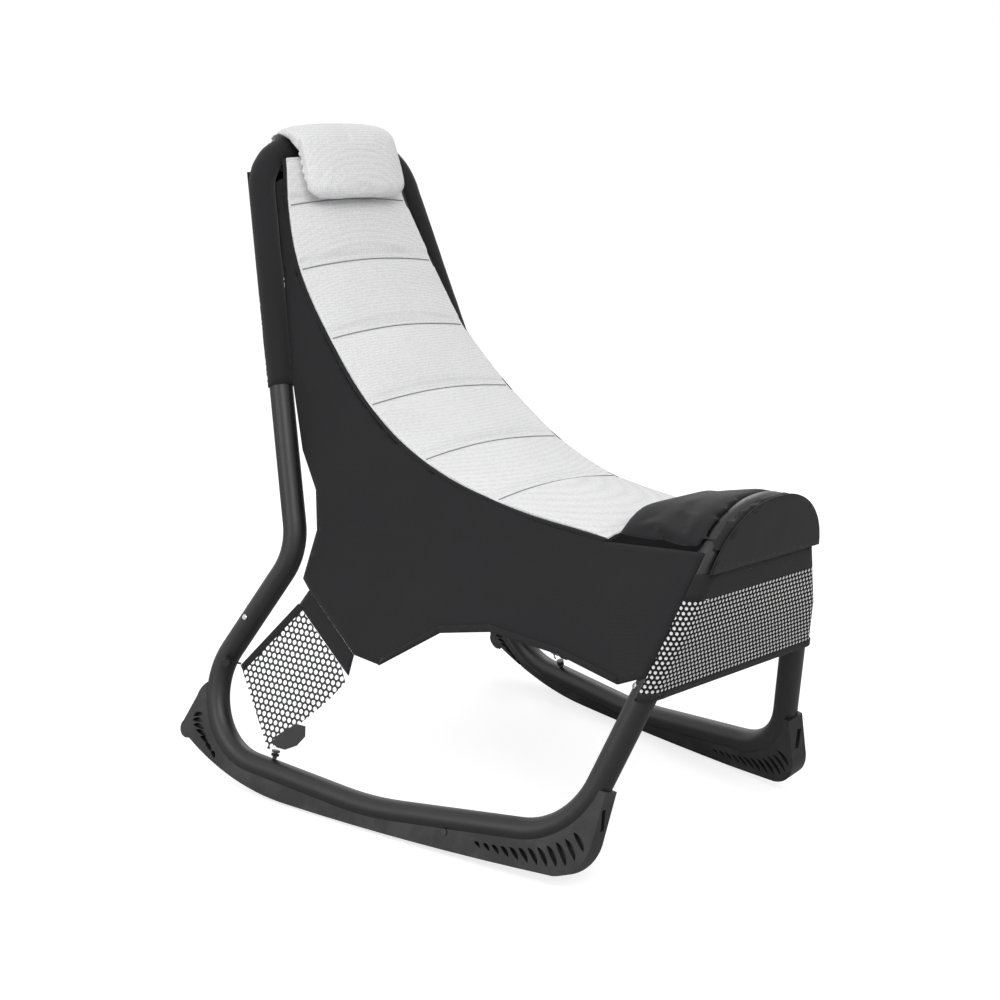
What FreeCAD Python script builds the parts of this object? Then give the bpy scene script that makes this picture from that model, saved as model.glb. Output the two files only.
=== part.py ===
import FreeCAD, Part
import math
import os

Vector = FreeCAD.Vector

# Sizes in millimetres and degrees. The side frame lies in a plane that leans inward and toes in
# towards the front; its heights and depths are measured from the front lower corner of the tube.
sizes = {
    "tubeOuter": 32.0,
    "tubeWall": 1.5,
    "spigotLength": 50.0,
    "spigotGap": 0.1,
    "planeOffset": 226.6,
    "splayAngle": 8.7,
    "leanAngle": 16.4,
    "originBack": 270.0,
    "frontCornerY": -17.5,
    "frontCornerZ": 60.2,
    "frontCornerRadius": 119.0,
    "uprightSlope": 0.313,
    "baseBendY": 283.0,
    "baseBendZ": 23.6,
    "baseBendRadius": 525.0,
    "rearCornerY": 645.0,
    "rearCornerZ": 44.4,
    "rearCornerRadius": 96.0,
    "kneeY": 492.0,
    "kneeZ": 318.0,
    "kneeRadius": 87.0,
    "backTopY": 665.0,
    "backTopZ": 848.0,
    "backTopHalf": 124.0,
    "backTopRadius": 70.0,
    "frontTopZ": 446.0,
    "frontTopRadius": 90.0,
    "frontTopY": -124.0,
    "frontTopHalf": 62.0,
    "frontBendZ": 300.0,
    "frontBendRadius": 250.0,
    "frontJointZ": 266.0,
    "rearJointZ": 243.0,
    "buttonBelowJoint": 27.0,
    "buttonDiameter": 8.0,
    "buttonStand": 2.5,
    "buttonTravel": 4.0,
    "frontButtonTurn": 35.0,
    "buttonGap": 0.05,
    "clipThickness": 0.8,
    "clipWidth": 8.0,
    "clipLeg": 24.0,
    "shoeWidth": 26.0,
    "shoeRim": 8.0,
    "shoeNoseLift": 5.0,
    "shoeTailDrop": 3.5,
    "shoeGap": 0.1,
    "shoeWeb": 12.0,
    "shoeFrontRadius": 6500.0,
    "shoeRearRadius": 440.0,
    "shoeLowY": 330.0,
    "shoeCurlY": 410.0,
    "shoeTailY": 618.0,
    "shoeTailTop": 130.0,
    "shoeNoseTop": 121.0,
    "shoeNoseWall": 2.0,
    "noseSlotCount": 12,
    "tailSlotCount": 7,
    "screwDiameter": 4.0,
    "screwHead": 8.0,
    "screwHeadHeight": 1.6,
    "screwShank": 1.7,
    "screwY": 155.0,
    "screwDrop": 13.0,
    "lowerStudY": 459.0,
    "upperStudZ": 166.0,
    "studDiameter": 8.0,
    "studHeight": 9.0,
    "studHead": 11.0,
    "studHeadHeight": 2.5,
    "seamTopY": 638.0,
    "seamTopZ": 836.0,
    "seamTopHalf": 98.0,
    "seamOneY": 622.0,
    "seamOneZ": 770.0,
    "seamOneHalf": 108.0,
    "seamTwoY": 581.0,
    "seamTwoZ": 684.0,
    "seamTwoHalf": 122.0,
    "seamThreeY": 515.0,
    "seamThreeZ": 594.0,
    "seamThreeHalf": 124.0,
    "seamFourY": 427.0,
    "seamFourZ": 513.0,
    "seamFourHalf": 130.0,
    "seamFiveY": 325.0,
    "seamFiveZ": 452.0,
    "seamFiveHalf": 126.0,
    "seamSixY": 203.0,
    "seamSixZ": 415.0,
    "seamSixHalf": 113.0,
    "seamFrontY": 22.0,
    "seamFrontZ": 398.0,
    "seamFrontHalf": 108.0,
    "hemRearY": 457.0,
    "hemRearZ": 272.0,
    "hemFrontY": 360.0,
    "hemFrontZ": 204.0,
    "frontHemY": -40.0,
    "frontHemZ": 243.0,
    "frontFootZ": 256.0,
    "backWrap": 8.0,
    "netPitch": 12.0,
    "netHole": 9.0,
    "netMargin": 6.0,
    "rollBottomZ": 407.0,
    "rollHalf": 106.0,
    "rollFront": 20.0,
    "pillowCrest": 13.0,
    "pillowDrop": 91.0,
    "pillowBackDrop": 60.0,
    "flapSheet": 2.4,
    "sheet": 1.6,
    "meshSheet": 1.4,
    "softGap": 0.6,
    "sleeveGap": 0.3,
    "sleeveWall": 1.8,
    "sleeveStartZ": 533.0,
    "padEdge": 5.0,
    "padSeam": 8.0,
    "padPuff": 6.0,
    "slingCrown": 9.0,
    "seamTilt": 38.0,
    "rollBack": 18.0,
    "rollTopZ": 464.0,
    "apronTop": 351.0,
    "apronBottom": 235.0,
    "bandHeight": 30.0,
    "yokeBottom": 688.0,
    "backMeshBottom": 543.0,
    "yokeTop": 824.0,
    "pillowThick": 30.0,
    "pillowHalf": 95.0,
    "bindingWidth": 9.0,
    "bindingThick": 2.4,
}

doc = FreeCAD.newDocument("RockerChair")
sheet = doc.addObject("Spreadsheet::Sheet", "Sizes")
for row, (name, value) in enumerate(sizes.items(), start=1):
    sheet.set("A%d" % row, name)
    sheet.set("B%d" % row, str(value))
    sheet.setAlias("B%d" % row, name)
doc.recompute()


def size(name):
    return float(sheet.get(name))


finished = []


def finish(obj, label):
    obj.Label = label
    finished.append(obj)
    return obj


def bound(obj, prop, formula):
    obj.setExpression(prop, formula)


# The side plane and points on it

splay = math.tan(math.radians(size("splayAngle")))
lean = math.tan(math.radians(size("leanAngle")))


def at(x, y, z):
    return Vector(x, y - size("originBack"), z)


def planeX(y, z):
    return size("planeOffset") + splay * y - lean * z


def onPlane(side, y, z, outward=0.0):
    return at(side * (planeX(y, z) + outward), y, z)


def sideNormal(side):
    normal = Vector(side, -side * side * splay, lean)
    normal.normalize()
    return normal


def uprightPoint(z):
    return size("frontCornerY") - size("uprightSlope") * (z - size("frontCornerZ")), z


def riserPoint(z):
    share = (z - size("rearCornerZ")) / (size("kneeZ") - size("rearCornerZ"))
    return size("rearCornerY") + share * (size("kneeY") - size("rearCornerY")), z


def backLeg(side, z):
    share = (z - size("kneeZ")) / (size("backTopZ") - size("kneeZ"))
    kneeX = planeX(size("kneeY"), size("kneeZ"))
    x = kneeX + share * (size("backTopHalf") - kneeX)
    y = size("kneeY") + share * (size("backTopY") - size("kneeY"))
    return at(side * x, y, z)


def frontLeg(side, z):
    bendZ = size("frontBendZ")
    y, level = uprightPoint(min(z, bendZ))
    bend = onPlane(side, y, level)
    if z <= bendZ:
        return bend
    top = at(side * size("frontTopHalf"), size("frontTopY"), size("frontTopZ"))
    return bend + (top - bend) * ((z - bendZ) / (size("frontTopZ") - bendZ))


# Bent tubes: straight runs joined by tangent arcs

def bentPath(points, radii):
    edges = []
    start = points[0]
    for index in range(1, len(points) - 1):
        corner = points[index]
        back = points[index - 1] - corner
        ahead = points[index + 1] - corner
        back.normalize()
        ahead.normalize()
        turn = math.pi - back.getAngle(ahead)
        radius = radii[index - 1]
        run = radius * math.tan(turn / 2)
        enter = corner + back * run
        leave = corner + ahead * run
        inward = back + ahead
        inward.normalize()
        centre = corner + inward * (radius / math.cos(turn / 2))
        middle = centre - inward * radius
        if (enter - start).Length > 0.01:
            edges.append(Part.makeLine(start, enter))
        edges.append(Part.Arc(enter, middle, leave).toShape())
        start = leave
    edges.append(Part.makeLine(start, points[-1]))
    return edges


def pathObject(name, edges):
    path = doc.addObject("Part::Feature", name)
    path.Shape = Part.Wire(edges)
    return path


def sweptRound(name, path, formula):
    first = path.Shape.Edges[0]
    start = first.Vertexes[0].Point
    direction = first.tangentAt(first.FirstParameter)
    circle = doc.addObject("Part::Circle", name + "_ring")
    circle.Placement = FreeCAD.Placement(start, FreeCAD.Rotation(Vector(0, 0, 1), direction))
    bound(circle, "Radius", formula)
    sweep = doc.addObject("Part::Sweep", name)
    sweep.Sections = [circle]
    sweep.Spine = (path, [])
    sweep.Solid = True
    sweep.Frenet = False
    sweep.Transition = 1
    return sweep


def hollowTube(name, edges, outerFormula, innerFormula):
    path = pathObject(name + "_path", edges)
    outer = sweptRound(name + "_outer", path, outerFormula)
    inner = sweptRound(name + "_inner", path, innerFormula)
    tube = doc.addObject("Part::Cut", name)
    tube.Base = outer
    tube.Tool = inner
    return tube


def joined(name, pieces):
    fusion = doc.addObject("Part::MultiFuse", name)
    fusion.Shapes = pieces
    return fusion


def cutBy(name, base, tool):
    cut = doc.addObject("Part::Cut", name)
    cut.Base = base
    cut.Tool = tool
    return cut


def rod(name, start, direction, radiusFormula, lengthFormula):
    cylinder = doc.addObject("Part::Cylinder", name)
    cylinder.Placement = FreeCAD.Placement(start, FreeCAD.Rotation(Vector(0, 0, 1), direction))
    bound(cylinder, "Radius", radiusFormula)
    bound(cylinder, "Height", lengthFormula)
    return cylinder


outerRadius = "Sizes.tubeOuter / 2"
boreRadius = "Sizes.tubeOuter / 2 - Sizes.tubeWall"
spigotRadius = boreRadius + " - Sizes.spigotGap"
spigotBore = spigotRadius + " - Sizes.tubeWall"
tubeRadius = size("tubeOuter") / 2
spigotInner = tubeRadius - 2 * size("tubeWall") - size("spigotGap")


def sideTubePoints(side):
    frontY, frontZ = uprightPoint(size("frontJointZ"))
    rearY, rearZ = riserPoint(size("rearJointZ"))
    return [
        onPlane(side, frontY, frontZ),
        onPlane(side, size("frontCornerY"), size("frontCornerZ")),
        onPlane(side, size("baseBendY"), size("baseBendZ")),
        onPlane(side, size("rearCornerY"), size("rearCornerZ")),
        onPlane(side, rearY, rearZ),
    ]


sideRadii = [size("frontCornerRadius"), size("baseBendRadius"), size("rearCornerRadius")]


def upwards(end, side):
    points = sideTubePoints(side)
    if end == "front":
        direction = points[0] - points[1]
    else:
        direction = points[4] - points[3]
    direction.normalize()
    return direction


def jointPoint(end, side):
    points = sideTubePoints(side)
    return points[0] if end == "front" else points[4]


def buttonPoint(end, side):
    return jointPoint(end, side) - upwards(end, side) * size("buttonBelowJoint")


def buttonOut(end, side):
    # The front buttons look a little to the rear, so that the fabric's edge leaves them free.
    turn = math.radians(size("frontButtonTurn") if end == "front" else 0.0)
    rearward = upwards(end, side).cross(sideNormal(side))
    if rearward.y < 0:
        rearward = rearward * -1
    return sideNormal(side) * math.cos(turn) + rearward * math.sin(turn)


def sideTube(side, label):
    name = label + "_solid"
    tube = hollowTube(name, bentPath(sideTubePoints(side), sideRadii), outerRadius, boreRadius)
    for end in ("front", "rear"):
        hole = rod(name + end + "_hole", buttonPoint(end, side), buttonOut(end, side),
                   "Sizes.buttonDiameter / 2 + Sizes.buttonGap", "Sizes.tubeOuter")
        tube = cutBy(name + end + "_drilled", tube, hole)
    return finish(tube, label)


def hoop(label, end, edges):
    body = hollowTube(label + "_bent", edges, outerRadius, boreRadius)
    pieces = [body]
    for side in (-1, 1):
        tag = label + ("_left" if side > 0 else "_right")
        down = upwards(end, side) * -1
        start = jointPoint(end, side)
        collar = rod(tag + "_collar", start - down * 3, down, outerRadius, "3")
        spigot = rod(tag + "_spigot", start - down * 3, down, spigotRadius, "Sizes.spigotLength + 3")
        stub = joined(tag + "_stub", [collar, spigot])
        bore = rod(tag + "_bore", start - down * 4, down, spigotBore, "Sizes.spigotLength + 5")
        stub = cutBy(tag + "_plug", stub, bore)
        hole = rod(tag + "_hole", buttonPoint(end, side), buttonOut(end, side),
                   "Sizes.buttonDiameter / 2 + Sizes.buttonGap", "Sizes.tubeOuter")
        pieces.append(cutBy(tag + "_ready", stub, hole))
    return finish(joined(label + "_solid", pieces), label)


def backHoopEdges():
    points = [jointPoint("rear", -1), onPlane(-1, size("kneeY"), size("kneeZ"))]
    points.append(at(-size("backTopHalf"), size("backTopY"), size("backTopZ")))
    points.append(at(size("backTopHalf"), size("backTopY"), size("backTopZ")))
    points.append(onPlane(1, size("kneeY"), size("kneeZ")))
    points.append(jointPoint("rear", 1))
    radii = [size("kneeRadius"), size("backTopRadius"), size("backTopRadius"), size("kneeRadius")]
    return bentPath(points, radii)


def frontHoopEdges():
    points = [jointPoint("front", -1), frontLeg(-1, size("frontBendZ"))]
    points.append(frontLeg(-1, size("frontTopZ")))
    points.append(frontLeg(1, size("frontTopZ")))
    points.append(frontLeg(1, size("frontBendZ")))
    points.append(jointPoint("front", 1))
    radii = [size("frontBendRadius"), size("frontTopRadius")]
    return bentPath(points, radii + radii[::-1])


# Snap buttons and the spring strips behind them

def buttonShoulder():
    # The flange stays clear of the round wall inside the plug.
    flange = size("buttonDiameter") / 2 + 1.5
    return math.sqrt(spigotInner ** 2 - flange ** 2) - 0.15


def snapButton(end, side, label):
    outward = buttonOut(end, side)
    centre = buttonPoint(end, side)
    along = upwards(end, side)
    body = doc.addObject("PartDesign::Body", label + "_body")
    sketch = body.newObject("Sketcher::SketchObject", label + "_profile")
    plane = [f for f in body.Origin.OriginFeatures if f.Role == "XZ_Plane"][0]
    sketch.AttachmentSupport = [(plane, "")]
    sketch.MapMode = "FlatFace"
    radius = size("buttonDiameter") / 2
    shoulder = buttonShoulder()
    root = shoulder - 0.8
    top = tubeRadius + size("buttonStand")
    flange = radius + 1.5
    corners = [(0, root), (flange, root), (flange, shoulder), (radius, shoulder),
               (radius, top - 1.0), (radius - 1.0, top), (0, top)]
    for index, corner in enumerate(corners):
        following = corners[(index + 1) % len(corners)]
        sketch.addGeometry(Part.LineSegment(Vector(corner[0], corner[1], 0),
                                            Vector(following[0], following[1], 0)), False)
    turned = body.newObject("PartDesign::Revolution", label + "_turned")
    turned.Profile = sketch
    turned.ReferenceAxis = (sketch, ["V_Axis"])
    turned.Angle = 360
    across = along.cross(outward)
    body.Placement = FreeCAD.Placement(centre, FreeCAD.Rotation(across, along, outward, "ZXY"))
    leaf = doc.addObject("Part::Box", label + "_leaf")
    bound(leaf, "Length", "Sizes.clipWidth")
    bound(leaf, "Width", "Sizes.clipLeg")
    bound(leaf, "Height", "Sizes.clipThickness")
    corner = centre + outward * (root - size("clipThickness") + 0.05)
    corner = corner - across * (size("clipWidth") / 2) - along * (size("clipLeg") - flange)
    leaf.Placement = FreeCAD.Placement(corner, FreeCAD.Rotation(across, along, outward, "ZXY"))
    return finish(joined(label + "_solid", [body, leaf]), label)


def clipShape(end, side):
    outward = buttonOut(end, side)
    along = upwards(end, side)
    across = outward.cross(along)
    thick = size("clipThickness")
    leg = size("clipLeg")
    reach = math.sqrt(spigotInner ** 2 - (size("clipWidth") / 2) ** 2) - 0.15
    near = buttonShoulder() - 0.8 - thick - size("buttonTravel") - 0.4
    low = leg - size("buttonDiameter") / 2 - 1.5 + 0.4
    outline = [(-reach, 6.0), (-reach, -low - thick), (near, -low - thick), (near, -low),
               (-reach + thick, -low), (-reach + thick, 6.0)]
    centre = buttonPoint(end, side) - across * (size("clipWidth") / 2)
    corners = [centre + outward * a + along * b for a, b in outline]
    face = Part.Face(Part.makePolygon(corners + [corners[0]]))
    return face.extrude(across * size("clipWidth"))


def snapClips():
    clips = doc.addObject("Part::Feature", "snap_clips_solid")
    clips.Shape = Part.makeCompound([clipShape(e, s) for e in ("front", "rear") for s in (-1, 1)])
    return finish(clips, "snap_clips")


# Rocker shoes

noseStart = -8.0


def frontFloor(y):
    radius = size("shoeFrontRadius")
    return radius - math.sqrt(radius ** 2 - (y - size("shoeLowY")) ** 2)


def rearFloor(y):
    # Carries on from the front curve with the same slope.
    radius = size("shoeRearRadius")
    curlY = size("shoeCurlY")
    tilt = math.asin((curlY - size("shoeLowY")) / size("shoeFrontRadius"))
    centreY = curlY - radius * math.sin(tilt)
    centreZ = frontFloor(curlY) + radius * math.cos(tilt)
    return centreZ - math.sqrt(radius ** 2 - (y - centreY) ** 2)


def shoeRaise(y):
    if y < size("shoeLowY"):
        return size("shoeNoseLift") * (size("shoeLowY") - y) / (size("shoeLowY") - noseStart)
    return -size("shoeTailDrop") * max(0.0, y - size("shoeCurlY")) / (size("shoeTailY") - size("shoeCurlY"))


def shoeOutline(side):
    # Drawn on the side plane; the outer lower edge stands higher than the inner one.
    curlY = size("shoeCurlY")
    noseY = noseStart
    middle = (curlY + noseY) / 2
    tailY = size("shoeTailY")
    tailStart = tailY - 10.0
    tailMiddle = (curlY + tailStart) / 2
    tailTop = size("shoeTailTop")
    noseTop = size("shoeNoseTop")
    tubeFront = uprightPoint(noseTop)[0] - tubeRadius / math.cos(math.atan(size("uprightSlope")))
    noseTopY = tubeFront - size("shoeNoseWall")

    def p(y, z):
        return onPlane(side, y, z)

    def low(y, z):
        return onPlane(side, y, z + shoeRaise(y))

    nose = low(noseY, frontFloor(noseY))
    curl = low(curlY, frontFloor(curlY))
    tail = low(tailStart, rearFloor(tailStart))
    edges = [
        Part.Arc(nose, low(middle, frontFloor(middle)), curl).toShape(),
        Part.Arc(curl, low(tailMiddle, rearFloor(tailMiddle)), tail).toShape(),
        Part.Arc(tail, p(tailY + 9, 56), p(tailY + 6, 67)).toShape(),
        Part.makeLine(p(tailY + 6, 67), p(tailY - 10, 104)),
        Part.Arc(p(tailY - 10, 104), p(tailY - 19, 121), p(tailY - 34, tailTop)).toShape(),
        Part.makeLine(p(tailY - 34, tailTop), p(450, 150)),
        Part.makeLine(p(450, 150), p(60, 150)),
        Part.makeLine(p(60, 150), p(-12, noseTop + 5)),
        Part.makeLine(p(-12, noseTop + 5), p(noseTopY, noseTop)),
        Part.makeLine(p(noseTopY, noseTop), p(noseTopY + 4, 66)),
        Part.Arc(p(noseTopY + 4, 66), p(noseTopY + 16, 32), nose).toShape(),
    ]
    return Part.Wire(edges)


def noseSlots():
    # Crescents fan back from the nose, longest at the third one.
    slots = []
    for number in range(int(size("noseSlotCount"))):
        fall = math.exp(-number / 2.9)
        apart = abs(number - 2)
        y = 13.5 * number - 33 - 11 * (1 - math.exp(-number / 2))
        slots.append((y, 22 + 37 * fall, 31 - 2.2 * apart, 10 - 0.5 * apart, -40 - 2.6 * apart))
    return slots


def tailSlots():
    slots = []
    for number in range(int(size("tailSlotCount"))):
        y = 558 + 40 * math.sin(0.27 * number)
        tall = 12 + 3.5 * min(number, 5 - number / 2)
        slots.append((y, 34 + 7.5 * number, tall, 8, -50 - 9 * number))
    return slots


def crescent(side, y, z, tall, wide, turn):
    angle = math.radians(turn)

    def p(a, b):
        return onPlane(side, y + a * math.cos(angle) - b * math.sin(angle),
                       z + a * math.sin(angle) + b * math.cos(angle))

    tip = tall / 2
    edges = [
        Part.Arc(p(0, -tip), p(-wide * 0.62, 0), p(0, tip)).toShape(),
        Part.Arc(p(0, tip), p(wide * 0.14, 0), p(0, -tip)).toShape(),
    ]
    return Part.Wire(edges)


def thickened(wire, side, width):
    # A flat outline on the side plane, made into a plate of this width with the plane in its middle.
    face = Part.Face(wire)
    face.translate(sideNormal(side) * (-width / 2))
    return face.extrude(sideNormal(side) * width)


def rimTool(side):
    # Everything above a line that follows the tube a little under its centre line.
    path = Part.Wire(bentPath(sideTubePoints(side), sideRadii))
    moved = path.makeOffset2D(size("shoeRim"), 0, False, True, False)
    if moved.BoundBox.ZMin > path.BoundBox.ZMin:
        moved = path.makeOffset2D(-size("shoeRim"), 0, False, True, False)
    loop = list(Part.Wire(Part.__sortEdges__(moved.Edges)).OrderedEdges)
    ends = [v.Point for v in Part.Wire(loop).OrderedVertexes]
    a = ends[0]
    b = ends[-1]
    back = size("originBack")
    aboveB = onPlane(side, b.y + back, b.z + 160)
    aboveA = onPlane(side, a.y + back, a.z + 160)
    loop += [Part.makeLine(b, aboveB), Part.makeLine(aboveB, aboveA), Part.makeLine(aboveA, a)]
    return thickened(Part.Wire(Part.__sortEdges__(loop)), side, 80)


def floorTool(side):
    # Everything under the floor line, level from side to side, leaves a flat strip to stand on.
    curlY = size("shoeCurlY")
    tailY = size("shoeTailY") - 10.0
    middle = (curlY + noseStart) / 2
    tailMiddle = (curlY + tailY) / 2

    def p(y, z):
        return at(side * 90, y, z)

    edges = [
        Part.Arc(p(noseStart, frontFloor(noseStart)), p(middle, frontFloor(middle)),
                 p(curlY, frontFloor(curlY))).toShape(),
        Part.Arc(p(curlY, rearFloor(curlY)), p(tailMiddle, rearFloor(tailMiddle)),
                 p(tailY, rearFloor(tailY))).toShape(),
        Part.makeLine(p(tailY, rearFloor(tailY)), p(tailY, -60)),
        Part.makeLine(p(tailY, -60), p(noseStart, -60)),
        Part.makeLine(p(noseStart, -60), p(noseStart, frontFloor(noseStart))),
    ]
    return Part.Face(Part.Wire(edges)).extrude(Vector(side * 300, 0, 0))


def shoe(side, label):
    block = thickened(shoeOutline(side), side, size("shoeWidth"))
    block = block.cut(rimTool(side))
    cutters = [thickened(crescent(side, *slot), side, 60) for slot in noseSlots() + tailSlots()]
    web = Part.Face(shoeOutline(side))
    web.translate(sideNormal(side) * (-size("shoeWeb") / 2))
    web = web.extrude(sideNormal(side) * size("shoeWeb"))
    block = block.cut(Part.makeCompound(cutters).cut(web))
    noseY = uprightPoint(88.0)[0] - tubeRadius - 30
    slot = Part.makeBox(7, 60, 28, onPlane(side, noseY, 74) - Vector(3.5, 0, 0))
    slotEnd = Part.makeBox(60, 60, 60, onPlane(side, noseY + 24, 60) - Vector(30, 0, 0))
    block = block.cut(slot.cut(slotEnd)).cut(floorTool(side))
    carved = doc.addObject("Part::Feature", label + "_block")
    carved.Shape = max(block.Solids, key=lambda piece: piece.Volume)
    path = pathObject(label + "_path", bentPath(sideTubePoints(side), sideRadii))
    groove = sweptRound(label + "_groove", path, outerRadius + " + Sizes.shoeGap")
    cupped = cutBy(label + "_cupped", carved, groove)
    hole = rod(label + "_pilot", screwSeat(side), sideNormal(side) * -1,
               "Sizes.screwDiameter / 2 + Sizes.buttonGap", "Sizes.screwShank + 0.2")
    return finish(cutBy(label + "_solid", cupped, hole), label)


def screwSeat(side):
    y = size("screwY")
    share = (y - size("frontCornerY")) / (size("baseBendY") - size("frontCornerY"))
    z = size("frontCornerZ") + share * (size("baseBendZ") - size("frontCornerZ")) - size("screwDrop")
    return onPlane(side, y, z) + sideNormal(side) * (size("shoeWidth") / 2)


def shoeScrews():
    screws = []
    for side in (-1, 1):
        seat = screwSeat(side)
        inward = sideNormal(side) * -1
        head = Part.makeCylinder(size("screwHead") / 2, size("screwHeadHeight"),
                                 seat - inward * size("screwHeadHeight"), inward)
        shank = Part.makeCylinder(size("screwDiameter") / 2, size("screwShank"), seat, inward)
        screws.append(head.fuse(shank))
    obj = doc.addObject("Part::Feature", "shoe_screws_solid")
    obj.Shape = Part.makeCompound(screws)
    return finish(obj, "shoe_screws")


# Studs on the side tubes that hold the flap corners

def squareTo(direction, along):
    square = direction - along * direction.dot(along)
    square.normalize()
    return square


def lowerStud(side):
    points = sideTubePoints(side)
    along = points[3] - points[2]
    share = (size("lowerStudY") - size("baseBendY")) / (size("rearCornerY") - size("baseBendY"))
    base = points[2] + along * share
    along.normalize()
    return base, squareTo(Vector(-side * 0.28, 0, 0.96), along)


def upperStud(side):
    y, z = riserPoint(size("upperStudZ"))
    return onPlane(side, y, z), squareTo(Vector(side * 0.5, -0.82, 0.28), upwards("rear", side))


def flapStuds():
    studs = []
    for side in (-1, 1):
        for base, direction in (lowerStud(side), upperStud(side)):
            foot = base + direction * (tubeRadius + 0.7)
            shank = Part.makeCylinder(size("studDiameter") / 2 - 1, size("studHeight"), foot, direction)
            head = Part.makeCylinder(size("studHead") / 2, size("studHeadHeight"),
                                     foot + direction * size("studHeight"), direction)
            studs.append(shank.fuse(head))
    obj = doc.addObject("Part::Feature", "flap_studs_solid")
    obj.Shape = Part.makeCompound(studs)
    return finish(obj, "flap_studs")


# Seat and back cushion: sections are tilted towards the head, so that the sewn seams bow upwards

seamNames = ["seamTop", "seamOne", "seamTwo", "seamThree", "seamFour", "seamFive", "seamSix", "seamFront"]
channelSteps = 6


def padEdgeCurve():
    points = [Vector(size(n + "Half"), size(n + "Y") - size("originBack"), size(n + "Z")) for n in seamNames]
    curve = Part.BSplineCurve()
    curve.interpolate(Points=points, Parameters=[float(i) for i in range(len(points))])
    return curve


padCurve = padEdgeCurve()


def headward(s):
    ahead = padCurve.tangent(s)[0]
    back = Vector(0, -ahead.y, -ahead.z)
    back.normalize()
    return back


def padLift(s):
    back = headward(s)
    normal = Vector(0, -back.z, back.y)
    tilt = math.radians(size("seamTilt"))
    return normal * math.cos(tilt) + back * math.sin(tilt)


def slingCrown(s):
    return size("slingCrown") * min(1.0, 0.5 + 0.3 * s)


def puff(s):
    return abs(math.sin(math.pi * s)) ** 0.8


def padTopHeights(s):
    edge = size("padEdge") + 0.3 * size("padPuff") * puff(s)
    middle = slingCrown(s) + size("padSeam") + size("padPuff") * puff(s)
    return edge, middle


def softSection(s, low, lowMiddle, high, highMiddle, inset):
    edge = padCurve.value(s)
    lift = padLift(s)
    half = edge.x - inset

    def p(x, height):
        return Vector(x, edge.y, edge.z) + lift * height

    edges = [
        Part.Arc(p(-half, low), p(0, lowMiddle), p(half, low)).toShape(),
        Part.makeLine(p(half, low), p(half, high)),
        Part.Arc(p(half, high), p(0, highMiddle), p(-half, high)).toShape(),
        Part.makeLine(p(-half, high), p(-half, low)),
    ]
    return Part.Wire(edges)


def seamSteps():
    count = (len(seamNames) - 1) * channelSteps
    return [index / channelSteps for index in range(count + 1)]


def quiltedPad():
    wires = []
    for s in seamSteps():
        high, highMiddle = padTopHeights(s)
        wires.append(softSection(s, 0.0, slingCrown(s), high, highMiddle, 0.0))
    pad = doc.addObject("Part::Feature", "quilted_pad_solid")
    pad.Shape = Part.makeLoft(wires, True, True)
    return finish(pad, "quilted_pad")


def seatSling():
    wires = []
    for s in seamSteps()[::2]:
        high = -size("softGap") / math.cos(math.radians(size("seamTilt")))
        low = high - size("sheet") / math.cos(math.radians(size("seamTilt")))
        wires.append(softSection(s, low, low + slingCrown(s), high, high + slingCrown(s), 0.0))
    sling = doc.addObject("Part::Feature", "seat_sling_solid")
    sling.Shape = Part.makeLoft(wires, True, True)
    return finish(sling, "seat_sling")


# Canvas side panels: ruled sheets from the pad's edge to the sleeve, the hem and the front leg

def facets(first, second, third, fourth):
    return [(first, second, third), (first, third, fourth)]


def thinSheet(lines, thick):
    # Each line is a row of points across the sheet; the sheet is half its thickness to each side.
    rows = []
    for index, line in enumerate(lines):
        before = lines[max(0, index - 1)]
        after = lines[min(len(lines) - 1, index + 1)]
        row = []
        for place, point in enumerate(line):
            along = after[place] - before[place]
            across = line[min(place + 1, len(line) - 1)] - line[max(place - 1, 0)]
            normal = across.cross(along)
            normal.normalize()
            row.append((point + normal * (thick / 2), point - normal * (thick / 2)))
        rows.append(row)
    triangles = []
    for row, after in zip(rows, rows[1:]):
        for place in range(len(row) - 1):
            for skin in (0, 1):
                triangles += facets(row[place][skin], row[place + 1][skin], after[place + 1][skin],
                                    after[place][skin])
        for place in (0, -1):
            triangles += facets(row[place][0], row[place][1], after[place][1], after[place][0])
    for row in (rows[0], rows[-1]):
        for place in range(len(row) - 1):
            triangles += facets(row[place][0], row[place + 1][0], row[place + 1][1], row[place][1])
    faces = [Part.Face(Part.makePolygon([a, b, c, a])) for a, b, c in triangles]
    return Part.makeSolid(Part.Shell(faces))


def seatEdge(side, s):
    edge = padCurve.value(s)
    drop = size("padEdge") * -0.4
    return Vector(side * (edge.x + 2 * size("softGap") + size("sheet") / 2), edge.y, edge.z) + padLift(s) * drop


def legSeat(side, z, towards, radius):
    axis = backLeg(side, z)
    along = backLeg(side, z + 1) - axis
    along.normalize()
    return axis + squareTo(towards - axis, along) * (radius + size("softGap"))


sleeveOuter = tubeRadius + size("sleeveGap") + size("sleeveWall")


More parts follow.
